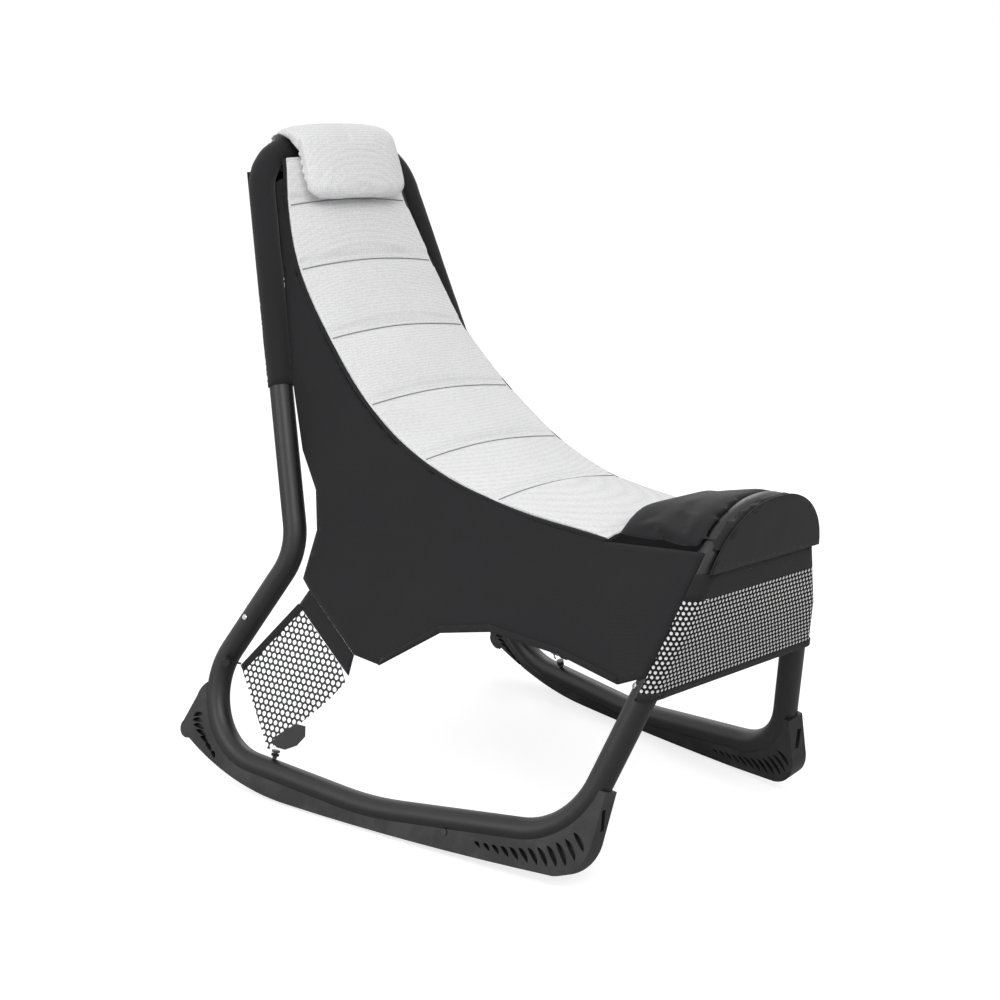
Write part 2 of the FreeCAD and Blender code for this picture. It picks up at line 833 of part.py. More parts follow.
def panelLines(side):
    lines = []
    for s, legZ in ((0.4, 802), (1, 766), (2, 680), (3, 594), (3.55, 536)):
        edge = seatEdge(side, s)
        lines.append((edge, legSeat(side, legZ, edge, sleeveOuter)))
    for s, y, z, inward in ((4, 521, 449, 2.5), (4.35, 481, 401, 0), (4.6, 465, 350, 0), (4.8, 472, 285, 0)):
        lines.append((seatEdge(side, s), onPlane(side, y, z, -inward)))
    for s, y, z in panelHem():
        lines.append((seatEdge(side, s), onPlane(side, y, z)))
    lines.append((seatEdge(side, 7), onPlane(side, size("frontHemY"), size("frontHemZ"), 7)))
    cover = tubeRadius + size("softGap") + size("sheet") / 2 + 0.4
    out = sideNormal(side) * cover
    head = frontLeg(side, size("seamFrontZ") + 2) + out
    knee = frontLeg(side, size("frontBendZ")) + out
    foot = frontLeg(side, size("frontFootZ")) + out
    strips = [(edge, (edge + hem) * 0.5, hem) for edge, hem in lines]
    strips.append((head, knee, foot))
    return strips


def panelHem():
    return [
        (5, size("hemRearY"), size("hemRearZ")),
        (5.28, size("hemFrontY"), size("hemFrontZ")),
        (5.5, 316, 199),
        (5.75, 232, 254),
        (6, 158, 268),
        (6.46, 52, 259),
    ]


def sidePanel(side, label):
    panel = doc.addObject("Part::Feature", label + "_solid")
    panel.Shape = thinSheet(panelLines(side), size("sheet"))
    return finish(panel, label)


def lowerBinding(side, label):
    # A folded tape along the arched lower edge, on the outer face of the canvas.
    lines = panelLines(side)
    first = len(lines) - len(panelHem()) - 1
    strips = []
    for edge, middle, hem in lines[first:-1]:
        inward = edge - hem
        inward.normalize()
        strips.append((hem, hem + inward * size("bindingWidth")))
    lift = size("sheet") / 2 + size("bindingThick") / 2 + 0.3
    moved = []
    for index, (hem, edge) in enumerate(strips):
        before = strips[max(0, index - 1)][0]
        after = strips[min(len(strips) - 1, index + 1)][0]
        out = (edge - hem).cross(after - before)
        out.normalize()
        if out.x * side < 0:
            out = out * -1
        moved.append((hem + out * lift, edge + out * lift))
    tape = doc.addObject("Part::Feature", label + "_solid")
    tape.Shape = thinSheet(moved[1:], size("bindingThick"))
    return finish(tape, label)


# Sleeve, yoke and mesh on the back hoop

def hoopSleeve():
    start = backLeg(-1, size("sleeveStartZ"))
    end = backLeg(1, size("sleeveStartZ"))
    corners = [at(x * size("backTopHalf"), size("backTopY"), size("backTopZ")) for x in (-1, 1)]
    edges = bentPath([start] + corners + [end], [size("backTopRadius")] * 2)
    inner = outerRadius + " + Sizes.sleeveGap"
    return finish(hollowTube("hoop_sleeve_solid", edges, inner + " + Sizes.sleeveWall", inner), "hoop_sleeve")


def netFace(outline, pitch, hole, margin):
    # One face with staggered six-sided holes that keep a margin from the outline.
    outer = Part.makePolygon(outline + [outline[0]])
    face = Part.Face(outer)
    box = face.BoundBox
    holes = []
    rows = int(box.YLength / (pitch * 0.866)) + 1
    columns = int(box.XLength / pitch) + 1
    for row in range(rows):
        for column in range(columns):
            x = box.XMin + pitch * (column + 0.5 * (row % 2))
            y = box.YMin + pitch * 0.866 * row
            centre = Vector(x, y, 0)
            inside = face.isInside(centre, 0.01, True)
            if inside and outer.distToShape(Part.Vertex(centre))[0] > margin + hole / 2:
                corners = []
                for k in range(6):
                    turn = math.radians(60 * k + 30)
                    corners.append(centre + Vector(math.cos(turn), math.sin(turn), 0) * (hole / 2))
                holes.append(Part.makePolygon(corners + [corners[0]]))
    return face.cut(Part.makeCompound([Part.Face(h) for h in holes])).Faces[0], len(holes)


def placedSheet(outline, origin, across, upward, thick, net):
    if net:
        face, count = netFace(outline, size("netPitch"), size("netHole"), size("netMargin"))
    else:
        face = Part.Face(Part.makePolygon(outline + [outline[0]]))
    solid = face.extrude(Vector(0, 0, thick))
    outward = across.cross(upward)
    corner = origin - outward * (thick / 2)
    solid.Placement = FreeCAD.Placement(corner, FreeCAD.Rotation(across, upward, outward, "ZXY"))
    return solid


def backFrame():
    top = at(0, size("backTopY"), size("backTopZ"))
    low = at(0, size("kneeY"), size("kneeZ"))
    upward = top - low
    upward.normalize()
    rear = Vector(0, upward.z, -upward.y)
    return top, upward, rear


def backSheet(label, lowZ, highZ, net):
    top, upward, rear = backFrame()
    cover = sleeveOuter + size("softGap") + size("sheet") / 2
    outline = []
    for side, z in ((-1, lowZ), (1, lowZ), (1, highZ), (-1, highZ)):
        leg = backLeg(side, z)
        outline.append(Vector(leg.x + side * size("backWrap"), (leg - top).dot(upward), 0))
    thick = size("meshSheet") if net else size("sheet")
    obj = doc.addObject("Part::Feature", label + "_solid")
    obj.Shape = placedSheet(outline, top + rear * cover, Vector(-1, 0, 0), upward, thick, net)
    return finish(obj, label)


# Knee roll, arched front face, webbing band and mesh apron on the front hoop

def archWire(half, low, flat, top, y, slope, bulge):
    base = size("frontTopZ")

    def p(x, z):
        return at(x, y - slope * (z - base), z)

    midX = flat + (half - flat) * bulge[0]
    midZ = low + (top - low) * bulge[1]
    edges = [
        Part.makeLine(p(-half, low), p(half, low)),
        Part.Arc(p(half, low), p(midX, midZ), p(flat, top)).toShape(),
        Part.makeLine(p(flat, top), p(-flat, top)),
        Part.Arc(p(-flat, top), p(-midX, midZ), p(-half, low)).toShape(),
    ]
    return Part.Wire(edges)


def hoopSlope():
    bend = frontLeg(1, size("frontBendZ"))
    top = frontLeg(1, size("frontTopZ"))
    return (bend.y - top.y) / (top.z - bend.z)


def kneeRoll():
    low = size("rollBottomZ")
    top = size("rollTopZ")
    slope = hoopSlope()
    front = size("frontTopY") - size("rollFront") / math.cos(math.atan(slope))
    rear = size("rollBack")
    stations = ((0, 1, 1), (0.12, 1, 1), (0.33, 0.93, 0.8), (0.51, 0.78, 0.5), (0.72, 0.66, 0.2),
                (0.86, 0.62, 0.1), (0.95, 0.56, 0), (0.985, 0.42, 0), (1, 0.15, 0))
    wires = []
    for share, height, fade in stations:
        y = front + (rear - front) * share
        half = size("rollHalf") - 5 * (1 - share)
        wires.append(archWire(half, low, 12 + 40 * share, low + (top - low) * height, y, slope * fade, (0.58, 0.69)))
    foam = doc.addObject("Part::Feature", "knee_roll_foam")
    foam.Shape = Part.makeLoft(wires, True, True)
    path = pathObject("knee_roll_path", frontHoopEdges())
    bore = sweptRound("knee_roll_bore", path, outerRadius + " + Sizes.sleeveGap")
    return finish(cutBy("knee_roll_solid", foam, bore), "knee_roll")


def frontPanel():
    slope = hoopSlope()
    lean = math.cos(math.atan(slope))
    y = size("frontTopY") - (size("rollFront") + size("softGap")) / lean
    wire = archWire(size("rollHalf"), size("apronTop") + size("bandHeight") + 2, 12,
                    size("rollTopZ") - 2, y, slope, (0.638, 0.709))
    obj = doc.addObject("Part::Feature", "front_panel_solid")
    obj.Shape = Part.Face(wire).extrude(Vector(0, -lean, -slope * lean) * size("sheet"))
    return finish(obj, "front_panel")


def legWrap(z, radius, back):
    # From the outer side of one front leg round its front, straight across, and round the other.
    leg = frontLeg(1, z)
    turn = math.radians(back)
    side = Vector(math.cos(turn), math.sin(turn), 0)
    middle = Vector(math.cos(math.radians(-45)), math.sin(math.radians(-45)), 0)
    points = [leg + side * radius, leg + middle * radius, leg + Vector(0, -radius, 0)]
    mirrored = [Vector(-q.x, q.y, q.z) for q in points]
    return points, mirrored


def wrapWire(z, radius, thick, back):
    outer, outerFar = legWrap(z, radius + thick, back)
    inner, innerFar = legWrap(z, radius, back)
    edges = [
        Part.Arc(outer[0], outer[1], outer[2]).toShape(),
        Part.makeLine(outer[2], outerFar[2]),
        Part.Arc(outerFar[2], outerFar[1], outerFar[0]).toShape(),
        Part.makeLine(outerFar[0], innerFar[0]),
        Part.Arc(innerFar[0], innerFar[1], innerFar[2]).toShape(),
        Part.makeLine(innerFar[2], inner[2]),
        Part.Arc(inner[2], inner[1], inner[0]).toShape(),
        Part.makeLine(inner[0], outer[0]),
    ]
    return Part.Wire(edges)


def wrapSheet(levels, radius, thick, back):
    return Part.makeLoft([wrapWire(z, radius, thick, back) for z in levels], True, True)


wrapRadius = tubeRadius * 1.09 + size("softGap")


def webbingBand():
    low = size("apronTop") + size("softGap")
    obj = doc.addObject("Part::Feature", "webbing_band_solid")
    obj.Shape = wrapSheet([low, low + size("bandHeight")], wrapRadius, size("sheet"), -8)
    return finish(obj, "webbing_band")


def frontMesh():
    low = size("apronBottom")
    bend = size("frontBendZ")
    top = size("apronTop")
    shape = wrapSheet([low, bend, top], wrapRadius, size("meshSheet"), -8)
    pitch = size("netPitch")
    hole = size("netHole")
    rows = int((top - low - 2 * size("netMargin")) / (pitch * 0.866))
    front = size("frontTopY") - 60 - size("originBack")
    cutters = []
    for row in range(rows + 1):
        z = low + size("netMargin") + hole / 2 + pitch * 0.866 * row
        if z + hole / 2 > top - size("netMargin") or abs(z - bend) < hole / 2 + 0.5:
            continue
        reach = frontLeg(1, z).x
        columns = int((reach - hole) / pitch)
        for column in range(-columns, columns + 1):
            x = pitch * (column + 0.5 * (row % 2))
            if abs(x) > reach - hole / 2:
                continue
            corners = []
            for k in range(6):
                turn = math.radians(60 * k + 30)
                corners.append(Vector(x + math.cos(turn) * hole / 2, front, z + math.sin(turn) * hole / 2))
            cutters.append(Part.Face(Part.makePolygon(corners + [corners[0]])).extrude(Vector(0, 90, 0)))
    obj = doc.addObject("Part::Feature", "front_mesh_solid")
    obj.Shape = shape.cut(Part.makeCompound(cutters))
    return finish(obj, "front_mesh")


def frontMeshBinding():
    low = size("apronBottom") - 1
    radius = wrapRadius + size("meshSheet") + 0.3
    obj = doc.addObject("Part::Feature", "front_mesh_binding_solid")
    obj.Shape = wrapSheet([low, low + size("bindingWidth")], radius, size("bindingThick") / 2, -8)
    return finish(obj, "front_mesh_binding")


# Corner flaps between the canvas hem and the side tubes

def planeFrame(side):
    origin = onPlane(side, 0, 0)
    ahead = onPlane(side, 1, 0) - origin
    ahead.normalize()
    upward = sideNormal(side).cross(ahead)
    if upward.z < 0:
        upward = upward * -1
    return origin, ahead, upward


def flatOnPlane(side, y, z):
    origin, ahead, upward = planeFrame(side)
    away = onPlane(side, y, z) - origin
    return Vector(away.dot(ahead), away.dot(upward), 0)


def flapSheet(side, label, corners, thick, net, lift=0.0):
    origin, ahead, upward = planeFrame(side)
    outline = [flatOnPlane(side, y, z) for y, z in corners]
    normal = ahead.cross(upward)
    offset = normal * (lift if normal.dot(sideNormal(side)) > 0 else -lift)
    obj = doc.addObject("Part::Feature", label + "_solid")
    obj.Shape = placedSheet(outline, origin + offset, ahead, upward, thick, net)
    return finish(obj, label)


def meshFlap(side, label):
    corners = [(470, 250), (377, 186), (365, 168), (386, 141), (472, 58), (550, 155)]
    return flapSheet(side, label, corners, size("meshSheet"), True)


def flapBand(side, label):
    gap = size("softGap")
    corners = [(size("hemRearY") + 0.6, size("hemRearZ") - gap), (size("hemFrontY") + 0.8, size("hemFrontZ") - gap),
               (362.5, 177), (376.7, 186.4), (469.7, 250.4)]
    return flapSheet(side, label, corners, size("sheet"), False)


def flapBinding(side, label):
    wide = size("bindingWidth")
    corners = [(550, 156), (470, 252), (470 - wide, 246), (550 - wide, 152)]
    lift = size("meshSheet") / 2 + 0.3 + size("bindingThick") / 4
    return flapSheet(side, label, corners, size("bindingThick") / 2, False, lift)


def pullTab(side, label):
    corners = [(466, 70), (456, 65), (442, 65), (424, 74), (413, 88), (416, 101), (430, 101), (446, 91), (460, 79)]
    lift = size("meshSheet") / 2 + 0.3 + size("bindingThick") / 2
    return flapSheet(side, label, corners, size("bindingThick"), False, lift)


def flapLoops():
    # An elastic ring round each stud's neck, and a short strap to the flap's corner.
    loops = []
    neck = size("studDiameter") / 2 - 1
    for side in (-1, 1):
        for (base, direction), corner in ((lowerStud(side), (468, 66)), (upperStud(side), (551, 158))):
            level = base + direction * (tubeRadius + size("studHeight") * 0.5)
            ring = Part.makeCylinder(neck + 2.3, 3, level, direction)
            tip = onPlane(side, *corner) - sideNormal(side) * (size("meshSheet") / 2 + 1.8)
            start = level + direction * 1.5
            run = tip - start
            strap = Part.makeCylinder(1.3, run.Length - 2.2, start, run)
            bore = Part.makeCylinder(neck + 0.3, 9, level - direction * 3, direction)
            loops.append(max(ring.fuse(strap).cut(bore).Solids, key=lambda piece: piece.Volume))
    obj = doc.addObject("Part::Feature", "flap_loops_solid")
    obj.Shape = Part.makeCompound(loops)
    return finish(obj, "flap_loops")


# Head pillow: a saddle over the top bar that slides up along the back

def backDistance(point):
    top, upward, rear = backFrame()
    away = point - top
    return -away.dot(rear), -away.dot(upward)


def padRiseUnderPillow():
    heights = []
    for index in range(0, 12):
        s = index / 10
        edge, middle = padTopHeights(s)
        centre = padCurve.value(s)
        point = Vector(0, centre.y, centre.z) + padLift(s) * middle
        heights.append(backDistance(point)[0])
    return max(heights)


def flapInner():
    # The hanging flap clears the canvas behind the sleeve.
    return sleeveOuter + 2 * size("softGap") + size("sheet")


def saddleWire(x, shrink):
    top, upward, rear = backFrame()
    inner = sleeveOuter + size("softGap")
    bed = padRiseUnderPillow() + size("softGap")
    share = min(1.0, abs(x) / size("pillowHalf"))
    plump = math.sqrt(max(0.0, 1 - share ** 3))
    front = bed + 5 + (size("pillowThick") - 5) * plump
    crest = inner + 4 + (size("pillowCrest") - 4) * plump
    back = flapInner() + size("flapSheet")
    drop = size("pillowDrop") - shrink

    def p(forward, down):
        return Vector(x, top.y, top.z) - rear * forward - upward * down

    edges = [
        Part.makeLine(p(bed, drop), p(bed, 16)),
        Part.Arc(p(bed, 16), p(inner * 0.9, -inner * 0.72), p(0, -inner)).toShape(),
        Part.Arc(p(0, -inner), p(-inner * 0.7072, -inner * 0.7072), p(-inner, 0)).toShape(),
        Part.makeLine(p(-inner, 0), p(-back, 0)),
        Part.Arc(p(-back, 0), p(-back * 0.75, -crest * 0.78), p(0, -crest)).toShape(),
        Part.Arc(p(0, -crest), p(front * 0.72, -crest * 0.72), p(front, 4)).toShape(),
        Part.makeLine(p(front, 4), p(front, drop - 14)),
        Part.Arc(p(front, drop - 14), p(bed + (front - bed) * 0.72, drop - 3), p(bed, drop)).toShape(),
    ]
    return Part.Wire(edges)


def headPillow():
    half = size("pillowHalf")
    wires = []
    for share, shrink in ((-1, 24), (-0.97, 17), (-0.9, 9), (-0.75, 3), (-0.4, 0), (0, 0), (0.4, 0), (0.75, 3),
                          (0.9, 9), (0.97, 17), (1, 24)):
        wires.append(saddleWire(half * share, shrink))
    pillow = doc.addObject("Part::Feature", "head_pillow_solid")
    pillow.Shape = Part.makeLoft(wires, True, True)
    return finish(pillow, "head_pillow")


def pillowBackFlap():
    top, upward, rear = backFrame()
    inner = flapInner()
    half = size("pillowHalf") - 3
    corner = top + rear * inner - upward * (size("pillowBackDrop"))
    corner = Vector(-half, corner.y, corner.z)
    flap = Part.makePolygon([corner, corner + Vector(2 * half, 0, 0),
                             corner + Vector(2 * half, 0, 0) + upward * (size("pillowBackDrop") - 0.3),
                             corner + upward * (size("pillowBackDrop") - 0.3), corner])
    obj = doc.addObject("Part::Feature", "pillow_back_flap_solid")
    obj.Shape = Part.Face(flap).extrude(rear * size("flapSheet"))
    return finish(obj, "pillow_back_flap")


# The whole chair

sides = ((1, "left"), (-1, "right"))
for side, hand in sides:
    sideTube(side, "side_tube_" + hand)
    shoe(side, "rocker_shoe_" + hand)
    for end in ("front", "rear"):
        snapButton(end, side, "snap_button_%s_%s" % (end, hand))
    sidePanel(side, "side_panel_" + hand)
    lowerBinding(side, "lower_binding_" + hand)
    meshFlap(side, "mesh_flap_" + hand)
    flapBand(side, "flap_band_" + hand)
    flapBinding(side, "flap_binding_" + hand)
    pullTab(side, "pull_tab_" + hand)
hoop("back_hoop", "rear", backHoopEdges())
hoop("front_hoop", "front", frontHoopEdges())
snapClips()
shoeScrews()
flapStuds()
flapLoops()
quiltedPad()
seatSling()
hoopSleeve()
backSheet("rear_yoke", size("yokeBottom"), size("yokeTop"), False)
backSheet("back_mesh_panel", size("backMeshBottom"), size("yokeBottom") - size("softGap") / 2, True)
kneeRoll()
frontPanel()
webbingBand()
frontMesh()
frontMeshBinding()
headPillow()
pillowBackFlap()
doc.recompute()

for obj in doc.Objects:
    if "Invalid" in obj.State or "Error" in obj.State:
        raise RuntimeError("failed: %s %s" % (obj.Name, obj.State))
for obj in finished:
    if obj.Shape.isNull() or not obj.Shape.isValid():
        raise RuntimeError("bad shape: " + obj.Label)

os.makedirs("parts", exist_ok=True)
for obj in finished:
    obj.Shape.exportStep("parts/%s.step" % obj.Label)
    box = obj.Shape.BoundBox
    print(obj.Label, len(obj.Shape.Solids), "solids", round(obj.Shape.Volume), "mm3",
          [round(v) for v in (box.XMin, box.XMax, box.YMin, box.YMax, box.ZMin, box.ZMax)])
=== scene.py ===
import math
import bmesh
import bpy
import numpy as np
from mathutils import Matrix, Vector, noise
from mathutils.bvhtree import BVHTree


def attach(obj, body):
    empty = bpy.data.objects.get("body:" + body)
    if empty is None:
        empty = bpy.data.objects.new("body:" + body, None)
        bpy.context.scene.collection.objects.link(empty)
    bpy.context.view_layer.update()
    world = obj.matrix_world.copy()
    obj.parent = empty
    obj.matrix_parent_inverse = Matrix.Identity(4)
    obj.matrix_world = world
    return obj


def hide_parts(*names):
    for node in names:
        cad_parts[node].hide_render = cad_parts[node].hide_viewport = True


# Gaming rocker chair: black canvas shell, white quilted pad and pillow, tube frame.

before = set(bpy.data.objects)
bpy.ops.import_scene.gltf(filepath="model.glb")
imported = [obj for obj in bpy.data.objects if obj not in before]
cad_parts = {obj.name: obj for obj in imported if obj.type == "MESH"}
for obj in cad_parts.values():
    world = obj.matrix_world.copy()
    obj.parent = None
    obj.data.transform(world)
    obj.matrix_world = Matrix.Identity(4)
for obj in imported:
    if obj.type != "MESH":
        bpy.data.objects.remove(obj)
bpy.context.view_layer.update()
scene = bpy.context.scene
hands = {"left": 1, "right": -1}
print("frame loaded")


# Shared shader groups

def newGroup(name, inputs, outputs):
    group = bpy.data.node_groups.new(name, "ShaderNodeTree")
    for label, kind, value in inputs:
        socket = group.interface.new_socket(name=label, in_out="INPUT", socket_type=kind)
        if value is not None:
            socket.default_value = value
    for label, kind in outputs:
        group.interface.new_socket(name=label, in_out="OUTPUT", socket_type=kind)
    return group, group.nodes.new("NodeGroupInput"), group.nodes.new("NodeGroupOutput")


def math2(tree, kind, first, second=None):
    node = tree.nodes.new("ShaderNodeMath")
    node.operation = kind
    for place, value in enumerate((first, second)):
        if value is None:
            continue
        if isinstance(value, (int, float)):
            node.inputs[place].default_value = value
        else:
            tree.links.new(value, node.inputs[place])
    return node.outputs[0]


def noiseAt(tree, vector, scale, detail=3.0, rough=0.5):
    node = tree.nodes.new("ShaderNodeTexNoise")
    node.inputs["Scale"].default_value = scale
    node.inputs["Detail"].default_value = detail
    node.inputs["Roughness"].default_value = rough
    tree.links.new(vector, node.inputs["Vector"])
    return node.outputs["Fac"]


def ranged(tree, value, fromLow, fromHigh, toLow, toHigh):
    node = tree.nodes.new("ShaderNodeMapRange")
    node.inputs["From Min"].default_value = fromLow
    node.inputs["From Max"].default_value = fromHigh
    node.inputs["To Min"].default_value = toLow
    node.inputs["To Max"].default_value = toHigh
    tree.links.new(value, node.inputs["Value"])
    return node.outputs["Result"]


def mixColor(tree, fac, first, second):
    node = tree.nodes.new("ShaderNodeMix")
    node.data_type = "RGBA"
    tree.links.new(fac, node.inputs["Factor"])
    for place, value in ((6, first), (7, second)):
        if isinstance(value, tuple):
            node.inputs[place].default_value = value
        else:
            tree.links.new(value, node.inputs[place])
    return node.outputs[2]


def clothWeaveGroup():
    # Crossing yarns with speckle and soft patches. The raised yarns are painted lighter and the hollows
    # between them darker, as painted shade; speckle and patches are random tone.
    group, start, end = newGroup("clothWeave", [
        ("Vector", "NodeSocketVector", None), ("Yarn Size", "NodeSocketFloat", 0.0011),
        ("Dark", "NodeSocketColor", (0.01, 0.01, 0.01, 1)),
        ("Light", "NodeSocketColor", (0.04, 0.04, 0.04, 1))],
        [("Color", "NodeSocketColor"), ("Height", "NodeSocketFloat"), ("Roughness", "NodeSocketFloat")])
    parts = group.nodes.new("ShaderNodeSeparateXYZ")
    group.links.new(start.outputs["Vector"], parts.inputs[0])
    turn = math2(group, "DIVIDE", 2 * math.pi, start.outputs["Yarn Size"])
    waves = []
    for axis in range(3):
        waves.append(math2(group, "SINE", math2(group, "MULTIPLY", parts.outputs[axis], turn)))
    weave = math2(group, "MULTIPLY", math2(group, "MULTIPLY", waves[0], waves[1]), waves[2])
    raised = math2(group, "ADD", weave, math2(group, "MULTIPLY", waves[1], waves[2]))
    speckle = noiseAt(group, start.outputs["Vector"], 900, 2)
    patches = noiseAt(group, start.outputs["Vector"], 9, 3)
    height = math2(group, "ADD", math2(group, "MULTIPLY", raised, 0.35), speckle)
    # Painted shade from the yarns' relief, mixed with random speckle and patches.
    reliefShadeAndTone = math2(group, "ADD", math2(group, "MULTIPLY", height, 0.45),
                 math2(group, "MULTIPLY", patches, 0.55))
    group.links.new(mixColor(group, ranged(group, reliefShadeAndTone, 0.2, 0.85, 0, 1), start.outputs["Dark"],
                             start.outputs["Light"]), end.inputs["Color"])
    group.links.new(height, end.inputs["Height"])
    group.links.new(ranged(group, patches, 0.3, 0.7, 0.78, 0.95), end.inputs["Roughness"])
    return group


def knitRibGroup():
    # A knit of close, small raised loops. The colour is painted darker towards the edge of each loop, as
    # painted shade in the hollows between loops, and varies in random patches.
    group, start, end = newGroup("knitRib", [
        ("Vector", "NodeSocketVector", None), ("Loop Size", "NodeSocketFloat", 0.0035),
        ("Hollow Shade", "NodeSocketColor", (0.6, 0.6, 0.6, 1)),
        ("Crest", "NodeSocketColor", (0.85, 0.85, 0.85, 1))],
        [("Color", "NodeSocketColor"), ("Height", "NodeSocketFloat")])
    scale = math2(group, "DIVIDE", 1.0, start.outputs["Loop Size"])
    cells = group.nodes.new("ShaderNodeTexVoronoi")
    cells.feature = "F1"
    cells.inputs["Randomness"].default_value = 0.35
    group.links.new(start.outputs["Vector"], cells.inputs["Vector"])
    group.links.new(scale, cells.inputs["Scale"])
    grain = noiseAt(group, start.outputs["Vector"], 700, 2)
    height = math2(group, "ADD", math2(group, "SUBTRACT", 1.0, cells.outputs["Distance"]),
                   math2(group, "MULTIPLY", grain, 0.35))
    patches = noiseAt(group, start.outputs["Vector"], 14, 2)
    # Painted shade: the lower parts of the loops get the darker hollow colour, mixed with random patches of
    # tone.
    reliefShadeAndTone = math2(group, "ADD", math2(group, "MULTIPLY", height, 0.75),
                 math2(group, "MULTIPLY", patches, 0.2))
    group.links.new(mixColor(group, ranged(group, reliefShadeAndTone, 0.35, 0.95, 0, 1), start.outputs["Hollow Shade"],
                             start.outputs["Crest"]), end.inputs["Color"])
    group.links.new(height, end.inputs["Height"])
    return group


def netHolesGroup():
    # Rows of staggered round holes; where they nearly meet, thin yarns are left.
    group, start, end = newGroup("netHoles", [
        ("Vector", "NodeSocketVector", None), ("Pitch", "NodeSocketFloat", 0.009),
        ("Open", "NodeSocketFloat", 0.1)],
        [("Cover", "NodeSocketFloat"), ("Height", "NodeSocketFloat")])
    parts = group.nodes.new("ShaderNodeSeparateXYZ")
    group.links.new(start.outputs["Vector"], parts.inputs[0])
    turn = math2(group, "DIVIDE", 2 * math.pi / 0.866, start.outputs["Pitch"])
    across = math2(group, "MULTIPLY", parts.outputs[0], turn)
    up = math2(group, "MULTIPLY", parts.outputs[1], turn)
    waves = [math2(group, "COSINE", up)]
    for sign in (1, -1):
        leaning = math2(group, "ADD", math2(group, "MULTIPLY", across, 0.866),
                        math2(group, "MULTIPLY", up, 0.5 * sign))
        waves.append(math2(group, "COSINE", leaning))
    field = math2(group, "ADD", math2(group, "ADD", waves[0], waves[1]), waves[2])
    overEdge = math2(group, "SUBTRACT", field, start.outputs["Open"])
    group.links.new(ranged(group, overEdge, 0.0, 0.15, 1.0, 0.0), end.inputs["Cover"])
    group.links.new(ranged(group, field, -1.5, 3.0, 1.0, 0.0), end.inputs["Height"])
    return group


def surfaceWearGroup():
    # Fine grain with a little dust in patches and short pale scuffs.
    group, start, end = newGroup("surfaceWear", [
        ("Vector", "NodeSocketVector", None), ("Grain", "NodeSocketFloat", 900.0),
        ("Base", "NodeSocketColor", (0.02, 0.02, 0.02, 1)), ("Dust", "NodeSocketColor", (0.1, 0.1, 0.1, 1)),
        ("Dust Amount", "NodeSocketFloat", 0.3), ("Gloss", "NodeSocketFloat", 0.4)],
        [("Color", "NodeSocketColor"), ("Height", "NodeSocketFloat"), ("Roughness", "NodeSocketFloat")])
    grain = group.nodes.new("ShaderNodeTexNoise")
    grain.inputs["Detail"].default_value = 2
    group.links.new(start.outputs["Vector"], grain.inputs["Vector"])
    group.links.new(start.outputs["Grain"], grain.inputs["Scale"])
    patches = noiseAt(group, start.outputs["Vector"], 17, 5, 0.65)
    scuffs = noiseAt(group, start.outputs["Vector"], 120, 6, 0.8)
    dusty = math2(group, "MULTIPLY", ranged(group, patches, 0.45, 0.75, 0, 1), start.outputs["Dust Amount"])
    marks = math2(group, "MULTIPLY", ranged(group, scuffs, 0.66, 0.74, 0, 1), start.outputs["Dust Amount"])
    amount = math2(group, "MAXIMUM", dusty, marks)
    worn = mixColor(group, amount, start.outputs["Base"], start.outputs["Dust"])
    group.links.new(worn, end.inputs["Color"])
    group.links.new(grain.outputs["Fac"], end.inputs["Height"])
    rough = math2(group, "ADD", start.outputs["Gloss"], math2(group, "MULTIPLY", amount, 0.35))
    group.links.new(rough, end.inputs["Roughness"])
    return group


clothWeave = clothWeaveGroup()
knitRib = knitRibGroup()
netHoles = netHolesGroup()
surfaceWear = surfaceWearGroup()


# Materials

def startMaterial(name, group, values, coordinates="Object"):
    material = bpy.data.materials.new(name)
    material.use_nodes = True
    tree = material.node_tree
    shader = tree.nodes["Principled BSDF"]
    place = tree.nodes.new("ShaderNodeTexCoord")
    effect = tree.nodes.new("ShaderNodeGroup")
    effect.node_tree = group
    tree.links.new(place.outputs[coordinates], effect.inputs["Vector"])
    for label, value in values.items():
        effect.inputs[label].default_value = value
    return material, tree, shader, effect


def addBump(tree, shader, height, strength, distance):
    bump = tree.nodes.new("ShaderNodeBump")
    bump.inputs["Strength"].default_value = strength
    bump.inputs["Distance"].default_value = distance
    tree.links.new(height, bump.inputs["Height"])
    tree.links.new(bump.outputs["Normal"], shader.inputs["Normal"])


def wovenMaterial(name, dark, light, yarn, sheen):
    material, tree, shader, weave = startMaterial(name, clothWeave, {
        "Yarn Size": yarn, "Dark": (*dark, 1), "Light": (*light, 1)})
    tree.links.new(weave.outputs["Color"], shader.inputs["Base Color"])
    tree.links.new(weave.outputs["Roughness"], shader.inputs["Roughness"])
    shader.inputs["Sheen Weight"].default_value = sheen
    shader.inputs["Specular IOR Level"].default_value = 0.25
    addBump(tree, shader, weave.outputs["Height"], 0.35, 0.0004)
    return material


def knitMaterial(name, hollowShade, crest, loop):
    material, tree, shader, knit = startMaterial(name, knitRib, {
        "Loop Size": loop, "Hollow Shade": (*hollowShade, 1), "Crest": (*crest, 1)})
    tree.links.new(knit.outputs["Color"], shader.inputs["Base Color"])
    shader.inputs["Roughness"].default_value = 0.9
    shader.inputs["Specular IOR Level"].default_value = 0.2
    addBump(tree, shader, knit.outputs["Height"], 0.5, 0.0006)
    return material


def netMaterial(name, pitch, openness):
    # Open net: whatever lies behind it shows through the holes.
    material, tree, shader, holes = startMaterial(name, netHoles, {"Pitch": pitch, "Open": openness}, "UV")
    tree.links.new(holes.outputs["Cover"], shader.inputs["Alpha"])
    shader.inputs["Base Color"].default_value = (0.018, 0.018, 0.02, 1)
    shader.inputs["Roughness"].default_value = 0.7
    addBump(tree, shader, holes.outputs["Height"], 0.6, 0.0008)
    return material


